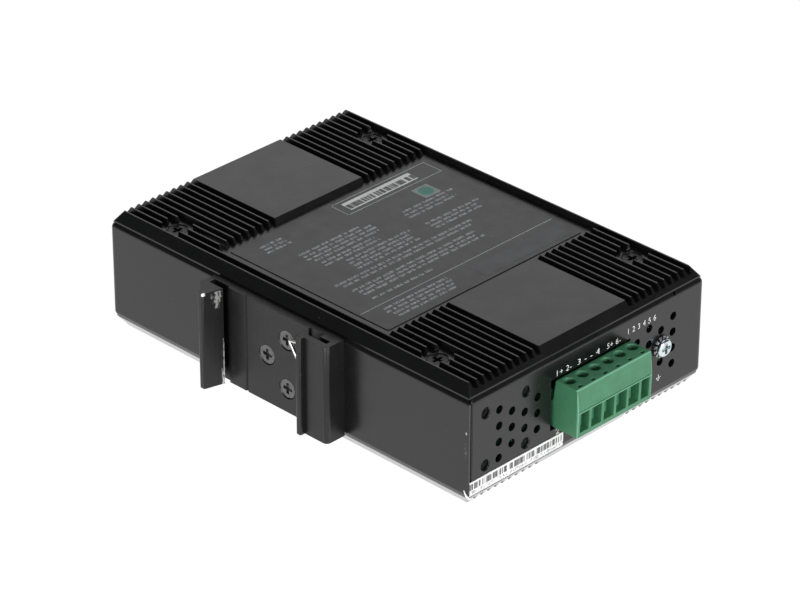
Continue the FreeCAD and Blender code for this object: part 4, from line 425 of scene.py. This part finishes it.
# Side covers
# Two equal castings with sloping sides and ten fins each side of two flat patches, coated black.
# Each is held by four black countersunk screws standing in round wells.
casting_coat = powder_coat("casting_coat", (0.005, 0.005, 0.0053), 0.25, 0.003 * MM)

# A clear coat on the castings, which fades out from the lower cover to the upper one
casting_shader = casting_coat.node_tree.nodes["Principled BSDF"]
casting_shader.inputs["Coat IOR"].default_value = 1.8
cover_height = casting_coat.node_tree.nodes["Separate XYZ"].outputs["Z"]
lower_gloss = spread(casting_coat, cover_height, wrap_low.z, wrap_high.z, 1.0, 0.0)
casting_coat.node_tree.links.new(lower_gloss, casting_shader.inputs["Coat Weight"])
give(casting_coat, "side_cover_upper", "side_cover_lower")
black_oxide = start_finish("black_oxide", (0.03, 0.03, 0.031), 0.34, 0.7)
raise_by(black_oxide, blotches(black_oxide, 0.2 * MM, 4.0), 0.006 * MM)
bared = spread(black_oxide, blotches(black_oxide, 0.45 * MM, 4.0), 0.66, 0.74, 0.0, 0.7)
lay_over(black_oxide, bared, colour=(0.32, 0.31, 0.3), roughness=0.3)
give(black_oxide, "cover_screws_upper", "cover_screws_lower")
soften("side_cover_upper", 0.12 * MM)
soften("side_cover_lower", 0.12 * MM)

# Rail clip
# A black anodised extrusion with a fixed hook and a spring hook, cut to width and held by three
# countersunk screws. Rails have bared the metal on the fixed hook. A bent wire springs in its slot.
clip_low, clip_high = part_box("din_clip")
anodised = start_finish("clip_anodising", (0.008, 0.008, 0.0084), 0.3)
anodised.node_tree.nodes["Principled BSDF"].inputs["Specular IOR Level"].default_value = 0.36
lay_over(anodised, spread(anodised, blotches(anodised, 5 * MM), 0.3, 0.7), roughness=0.38)
die_lines = blotches(anodised, 0.35 * MM, 3.0, (1.0, 1.0, 0.02))
raise_by(anodised, die_lines, 0.012 * MM)
lay_over(anodised, spread(anodised, die_lines, 0.6, 0.75, 0.0, 0.4), colour=(0.03, 0.03, 0.031))

# The fixed hook's lip ends at the clip's lowest Y, and its foot is an edge of the mouth for the rail.
# Its tip is knocked bare at the upper end, its face is scraped there, and its edges are worn.
mouth_x = clip_low.x + 7.2 * MM
mouth_y = clip_low.y + 6.3 * MM
tip_x = mouth_x - 1.7 * MM
tip_y = clip_low.y
knock = patch_mask(
    anodised,
    (tip_x - 0.3 * MM, tip_x + 0.8 * MM),
    (tip_y - MM, tip_y + 0.9 * MM),
    (clip_high.z - 0.8 * MM, clip_high.z + MM),
    0.15 * MM,
)
lay_over(anodised, knock, colour=(0.85, 0.85, 0.83), roughness=0.3, metallic=0.5)
scrape_tone = spread(anodised, blotches(anodised, 0.6 * MM, 4.0, (1.0, 1.0, 0.4)), 0.4, 0.55)
for reach, drop in ((1.0, 2.4), (0.6, 3.8), (0.25, 5.6)):
    scrape = patch_mask(
        anodised,
        (tip_x - MM, mouth_x + 0.5 * MM),
        (mouth_y - 2.0 * MM - 1.6 * reach * MM, mouth_y - 1.7 * MM + 1.2 * reach * MM),
        (clip_high.z - drop * MM, clip_high.z - 0.5 * MM),
        0.2 * MM,
    )
    lay_over(anodised, times(anodised, scrape, scrape_tone), (0.5, 0.49, 0.48), 0.4, metallic=0.8)
for reach, rise in ((0.35, 14.5), (0.9, 5.0)):
    edge_scrape = patch_mask(
        anodised,
        (mouth_x - MM, mouth_x + 0.6 * MM),
        (mouth_y - reach * MM, mouth_y + 0.3 * MM),
        (clip_low.z - MM, clip_low.z + rise * MM),
        0.15 * MM,
    )
    lay_over(anodised, times(anodised, edge_scrape, scrape_tone), (0.6, 0.59, 0.57), 0.4, metallic=0.8)
outer_tip = patch_mask(
    anodised,
    (tip_x - 2.5 * MM, tip_x - 1.9 * MM),
    (tip_y - MM, tip_y + 0.4 * MM),
    (clip_high.z - 7.5 * MM, clip_high.z + MM),
)
lay_over(anodised, times(anodised, outer_tip, scrape_tone), (0.3, 0.3, 0.3), 0.4, metallic=0.6)
specks = spread(anodised, blotches(anodised, 0.4 * MM, 1.0), 0.78, 0.82, 0.0, 0.6)
lay_over(anodised, specks, colour=(0.3, 0.3, 0.3), roughness=0.7)
give(anodised, "din_clip")
worn_oxide = start_finish("worn_oxide", (0.17, 0.17, 0.17), 0.4, 0.8)
raise_by(worn_oxide, blotches(worn_oxide, 0.2 * MM, 4.0), 0.005 * MM)
worn_tone = spread(worn_oxide, blotches(worn_oxide, 0.7 * MM, 4.0), 0.45, 0.7)
lay_over(worn_oxide, worn_tone, colour=(0.09, 0.09, 0.09))
give(worn_oxide, "din_clip_screws")
soften("din_clip", 0.12 * MM)
give(metal("spring_steel", (0.7, 0.7, 0.68), 0.2), "din_spring")

# Side label
# A dark grey printed film in the upper cover's recess: rows of fine print, a ruled line, a plain
# lighter panel, a white bar strip in a frame, and a teal disc on a pale square.
label_low, label_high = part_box("side_label")
film = moulding("label_film", (0.014, 0.0148, 0.0165), 0.27, 0.5 * MM, 0.002 * MM)
film.node_tree.nodes["Principled BSDF"].inputs["Specular IOR Level"].default_value = 0.43
give(film, "side_label")


def print_plate(shape, x_from, x_to, y_from, y_to):
    """One flat patch of ink or film on the label, added to a bmesh."""
    thick = 0.02 * MM
    size = Matrix.Diagonal((x_to - x_from, y_to - y_from, thick, 1.0))
    seat = Matrix.Translation(((x_from + x_to) / 2, (y_from + y_to) / 2, label_high.z + thick / 2))
    bmesh.ops.create_cube(shape, size=1.0, matrix=seat @ size)


def finish_print(name, shape, finish):
    """Ends a bmesh of ink or film and shows it as a piece."""
    mesh = bpy.data.meshes.new(name)
    shape.to_mesh(mesh)
    shape.free()
    add_piece(name, mesh, finish)


grey_ink = start_finish("grey_ink", (0.42, 0.43, 0.44), 0.45)
strokes = spread(grey_ink, blotches(grey_ink, 0.5 * MM, 2.0, (0.6, 1.0, 1.0)), 0.42, 0.58)
lay_over(grey_ink, strokes, colour=(0.1, 0.103, 0.108))
raise_by(grey_ink, strokes, 0.004 * MM)

# The print runs along Y in paragraphs, each given by the place of its first row, its number of rows
# and its two ends, in millimetres from the housing's middle
row_pitch = 1.75 * MM
row_height = 0.95 * MM
word_gap = 0.7 * MM
paragraphs = [
    (-26.5, 3, -31.0, -21.0),
    (-15.8, 4, -26.0, 2.0),
    (-8.4, 2, -25.0, 1.0),
    (-13.0, 3, 11.0, 33.0),
    (-4.4, 4, -20.0, 8.0),
    (-3.6, 3, 12.0, 36.0),
    (3.6, 2, -31.0, 26.0),
    (8.8, 3, -30.0, 20.0),
    (15.6, 1, -30.0, -4.0),
    (21.8, 4, -31.0, -3.0),
]
dice = random.Random(7)
rows = bmesh.new()
for first, count, start, end in paragraphs:
    for row in range(count):
        x = middle.x + first * MM + row * row_pitch
        y = middle.y + start * MM + dice.uniform(0, 2) * MM
        stop = middle.y + end * MM - dice.uniform(0, 6) * MM
        while y < stop:
            word = dice.uniform(1.2, 4.5) * MM
            print_plate(rows, x, x + row_height, y, min(y + word, stop))
            y += word + word_gap
finish_print("label_rows", rows, grey_ink)

# A ruled line across the label, and a frame round the bar strip
rule_x = middle.x + 19.7 * MM
lines = bmesh.new()
line_width = 0.28 * MM
rule_y = (label_low.y + 0.6 * MM, label_high.y - 0.6 * MM)
print_plate(lines, rule_x, rule_x + line_width, *rule_y)
frame_x = (middle.x - 29.6 * MM, middle.x - 22.4 * MM)
frame_y = (middle.y + 0.6 * MM, middle.y + 38.0 * MM)
for x in frame_x:
    print_plate(lines, x, x + line_width, *frame_y)
for y in frame_y:
    print_plate(lines, frame_x[0], frame_x[1] + line_width, y, y + line_width)
line_ink = start_finish("line_ink", (0.42, 0.43, 0.44), 0.5)
lay_over(line_ink, spread(line_ink, blotches(line_ink, 0.4 * MM, 3.0), 0.5, 0.8), colour=(0.22, 0.22, 0.23))
raise_by(line_ink, blotches(line_ink, 0.2 * MM), 0.003 * MM)
finish_print("label_lines", lines, line_ink)

panel = bmesh.new()
panel_x = (middle.x + 22.8 * MM, middle.x + 29.4 * MM)
panel_y = (middle.y + 2.4 * MM, middle.y + 37.3 * MM)
print_plate(panel, *panel_x, *panel_y)
panel_ink = moulding("panel_ink", (0.034, 0.036, 0.041), 0.34, 0.3 * MM, 0.002 * MM)
finish_print("label_panel", panel, panel_ink)


def barred_paper(name, along, across, bars_span, marks_span=None):
    """White film with plain bars of uneven width, in a band given by its span across the film. A
    second span holds a row of small marks."""
    paper = moulding(name, (0.9, 0.9, 0.89), 0.5, 0.25 * MM, 0.003 * MM)
    axis = paper.node_tree.nodes["Separate XYZ"].outputs[along]
    band = span_mask(paper, across, *bars_span)
    for pitch in (0.45 * MM, 0.22 * MM):
        steps = add_step(paper, "ShaderNodeMath", {0: axis, 1: pitch}, operation="SNAP").outputs[0]
        seed = {"W": times(paper, steps, 1 / MM)}
        chance = add_step(paper, "ShaderNodeTexWhiteNoise", seed, noise_dimensions="1D")
        bars = spread(paper, chance.outputs["Value"], 0.55, 0.57, 0.0, 0.8)
        lay_over(paper, times(paper, bars, band), colour=(0.03, 0.03, 0.03))
    if marks_span:
        marks = spread(paper, blotches(paper, 0.5 * MM), 0.5, 0.56, 0.0, 0.65)
        row = span_mask(paper, across, *marks_span)
        lay_over(paper, times(paper, marks, row), colour=(0.1, 0.1, 0.1))
    return paper


bar_x = (middle.x - 28.2 * MM, middle.x - 23.8 * MM)
bar_y = (middle.y + 3.4 * MM, middle.y + 30.4 * MM)
strip_paper = barred_paper("label_bars", "Y", "X", (bar_x[0] + 1.4 * MM, bar_x[1] - 0.5 * MM))
strip = bmesh.new()
print_plate(strip, *bar_x, *bar_y)
finish_print("label_bar_strip", strip, strip_paper)

stamp_middle = (middle.x - 16.8 * MM, middle.y + 26.3 * MM)
stamp = bmesh.new()
stamp_half = 3.1 * MM
print_plate(
    stamp,
    stamp_middle[0] - stamp_half,
    stamp_middle[0] + stamp_half,
    stamp_middle[1] - stamp_half,
    stamp_middle[1] + stamp_half,
)
pale_ink = moulding("pale_ink", (0.3, 0.34, 0.32), 0.5, 0.25 * MM, 0.003 * MM)
finish_print("label_stamp", stamp, pale_ink)
disc = bmesh.new()
disc_radius = 2.3 * MM
disc_seat = Matrix.Translation((*stamp_middle, label_high.z + 0.03 * MM))
bmesh.ops.create_cone(
    disc,
    cap_ends=True,
    segments=40,
    radius1=disc_radius,
    radius2=disc_radius,
    depth=0.02 * MM,
    matrix=disc_seat,
)
teal_ink = moulding("teal_ink", (0.06, 0.26, 0.2), 0.45, 0.25 * MM, 0.003 * MM)
finish_print("label_disc", disc, teal_ink)

# Bar strip on the terminal end
# A white film sticker over the lower rim. Its upper half carries plain bars, a row of small marks
# runs under them, and one end has come loose at the corner and curled away.
strip_low, strip_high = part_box("barcode_strip")
rim_paper = barred_paper(
    "rim_bars",
    "Y",
    "Z",
    (strip_high.z - 2.5 * MM, strip_high.z - 0.6 * MM),
    (strip_high.z - 3.7 * MM, strip_high.z - 2.8 * MM),
)
give(rim_paper, "barcode_strip")

# The loose corner narrows to a point as it rises, and bows away from the housing
flap = bmesh.new()
flap_foot = Vector((wrap_high.x + 0.25 * MM, strip_low.y + 0.3 * MM, strip_low.z - 0.6 * MM))
flap_reach = Vector((0.3 * MM, -3.0 * MM, 4.6 * MM))
bmesh.ops.create_grid(flap, x_segments=14, y_segments=4, size=0.5)
for vert in flap.verts:
    along = vert.co.x + 0.5
    across = vert.co.y * (1.0 - 0.93 * along) * 1.1 * MM
    bow = math.sin(math.pi * along) * 0.3 * MM
    vert.co = flap_foot + along * flap_reach + Vector((0.6 * across, across - bow, -bow))
bmesh.ops.recalc_face_normals(flap, faces=flap.faces)
bmesh.ops.solidify(flap, geom=flap.faces[:], thickness=0.12 * MM)
flap_mesh = bpy.data.meshes.new("strip_flap")
flap.to_mesh(flap_mesh)
flap.free()
flap_mesh.shade_smooth()
flap_paper = moulding("flap_paper", (0.9, 0.9, 0.89), 0.5, 0.25 * MM, 0.003 * MM)
add_piece("strip_flap", flap_mesh, flap_paper)

# Printed marks on the terminal end
# Plain white numbers over the terminal plug and beside it, a number by the strip, and the common
# earth mark of a stem and three bars under the earth screw.
faces_terminals = Matrix(((0.0, 0.0, 1.0), (1.0, 0.0, 0.0), (0.0, 1.0, 0.0)))
legend_height = 1.75 * MM
for name, figures, start, end, level in (
    ("poles_1_2", "1+ 2-", -13.2, -7.4, 9.3),
    ("poles_3_4", "3 - - 4", -4.8, 4.0, 9.3),
    ("poles_5_6", "5+ 6-", 7.0, 12.4, 9.3),
    ("poles_all", "1 2 3 4 5 6", 15.3, 26.7, 10.4),
    ("strip_number", "2", -12.9, -11.5, -9.0),
):
    seat = Vector((wrap_high.x, middle.y + (start + end) / 2 * MM, middle.z + level * MM))
    width = (end - start) * MM
    print_figures(name, figures, legend_height, faces_terminals, seat, width)

# The earth mark's stem and bars, each by its half width, its level and its height in millimetres
earth = bmesh.new()
earth_y = middle.y + 28.8 * MM
earth_z = middle.z - 9.55 * MM
for half_width, level, tall in ((0.12, 0.5, 1.0), (1.05, 0.0, 0.2), (0.68, -0.4, 0.2), (0.3, -0.8, 0.2)):
    size = Matrix.Diagonal((0.02 * MM, 2 * half_width * MM, tall * MM, 1.0))
    seat = Matrix.Translation((wrap_high.x + 0.01 * MM, earth_y, earth_z + level * MM))
    bmesh.ops.create_cube(earth, size=1.0, matrix=seat @ size)
finish_print("earth_mark", earth, white_ink)

# Studio
# A white sweep: a pale floor, and a curved backdrop behind the object that the glossy black faces
# reflect. A large soft lamp hangs overhead, one stands at the terminal end and one at the clip.
def stage_white(name):
    """Matt white that shows as plain white to the camera, bar a share left for the object's shadow,
    and as full white to what the object mirrors."""
    shadow_share = 0.1
    white = start_finish(name, (0.8, 0.8, 0.8), 0.9)
    shader = white.node_tree.nodes["Principled BSDF"]
    shader.inputs["Specular IOR Level"].default_value = 0.0
    rays = add_step(white, "ShaderNodeLightPath", {})
    mirror_rays = {0: rays.outputs["Is Glossy Ray"], 1: rays.outputs["Is Transmission Ray"]}
    mirrored = add_step(white, "ShaderNodeMath", mirror_rays, operation="MAXIMUM").outputs[0]
    camera_share = times(white, rays.outputs["Is Camera Ray"], 1.0 - shadow_share)
    plain_rays = {0: camera_share, 1: mirrored}
    shown = add_step(white, "ShaderNodeMath", plain_rays, operation="MAXIMUM").outputs[0]
    plain = add_step(white, "ShaderNodeEmission", {"Strength": 1.1}).outputs[0]
    mix = add_step(white, "ShaderNodeMixShader", {0: shown, 1: shader.outputs[0], 2: plain})
    white.node_tree.links.new(mix.outputs[0], white.node_tree.nodes["Material Output"].inputs["Surface"])
    return white


def stand_stage(name, shape):
    """Shows a bmesh as a part of the stage."""
    mesh = bpy.data.meshes.new(name)
    shape.to_mesh(mesh)
    shape.free()
    mesh.materials.append(stage_white(f"{name}_white"))
    sheet = bpy.data.objects.new(name, mesh)
    bpy.context.scene.collection.objects.link(sheet)


floor = bmesh.new()
bmesh.ops.create_circle(floor, cap_ends=True, segments=64, radius=6.0)
bmesh.ops.translate(floor, verts=floor.verts, vec=(0.0, 0.0, cad_box[0].z))
stand_stage("floor", floor)

# The backdrop is an upright strip swept through its arc, and then turned to where it is mirrored
backdrop = bmesh.new()
backdrop_far = 3.0
backdrop_top = 2.6
backdrop_arc = math.radians(100)
foot = backdrop.verts.new((0.0, backdrop_far, cad_box[0].z - 0.01))
top = backdrop.verts.new((0.0, backdrop_far, backdrop_top))
upright = backdrop.edges.new((foot, top))
bmesh.ops.spin(
    backdrop,
    geom=[foot, top, upright],
    cent=(0.0, 0.0, 0.0),
    axis=(0.0, 0.0, 1.0),
    angle=backdrop_arc,
    steps=40,
)
turn = Matrix.Rotation(math.radians(-6), 3, "Z")
bmesh.ops.rotate(backdrop, verts=backdrop.verts, cent=(0.0, 0.0, 0.0), matrix=turn)
stand_stage("backdrop", backdrop)

# The room is white to the camera, and dim to what it lights and to what mirrors it
world = bpy.data.worlds.new("studio")
world.use_nodes = True
room = world.node_tree.nodes["Background"]
room.inputs["Color"].default_value = (0.9, 0.95, 1.0, 1.0)
room_light = 0.16
room_mirrored = 0.06
seen = add_step(world, "ShaderNodeLightPath", {})
room_level = spread(world, seen.outputs["Is Glossy Ray"], 0.0, 1.0, room_light, room_mirrored)
room_steps = {0: seen.outputs["Is Camera Ray"], 1: room_level}
room_white = add_step(world, "ShaderNodeMath", room_steps, operation="MAXIMUM").outputs[0]
world.node_tree.links.new(room_white, room.inputs["Strength"])
bpy.context.scene.world = world


def hang_lamp(name, seat, width, depth, power):
    """A soft oblong lamp at a place, facing the middle of the housing."""
    light = bpy.data.lights.new(name, "AREA")
    light.shape = "RECTANGLE"
    light.size = width
    light.size_y = depth
    light.energy = power
    lamp = bpy.data.objects.new(name, light)
    lamp.location = seat
    lamp.rotation_mode = "QUATERNION"
    lamp.rotation_quaternion = (middle - Vector(seat)).to_track_quat("-Z", "Y")
    bpy.context.scene.collection.objects.link(lamp)


hang_lamp("overhead", (0.1, 0.5, 1.8), 1.4, 1.4, 5.0)
hang_lamp("terminal_side", (2.1, -0.2, 0.5), 1.2, 0.8, 39.0)
hang_lamp("low_fill", (0.5, -1.9, 0.25), 1.6, 0.5, 21.0)

# Camera
# The photograph's own view, fitted to the straight edges of the housing: its place, its aim, its
# long lens and its slight roll.
camera_place = Vector((0.68226, -0.64454, 0.55319))
camera_aim = Vector((0.005284, 0.04578, 0.0))
lens_data = bpy.data.cameras.new("camera")
lens_data.lens = 179.5
lens_data.sensor_width = 36.0
lens_data.clip_start = 0.05
lens_data.clip_end = 50.0
camera = bpy.data.objects.new("camera", lens_data)
camera.location = camera_place
camera.rotation_mode = "QUATERNION"
look = (camera_aim - camera_place).to_track_quat("-Z", "Y")
roll = Quaternion((0.0, 0.0, 1.0), math.radians(0.113))
camera.rotation_quaternion = look @ roll
bpy.context.scene.collection.objects.link(camera)
bpy.context.scene.camera = camera
bpy.context.scene.view_settings.view_transform = "Standard"

bpy.context.view_layer.update()
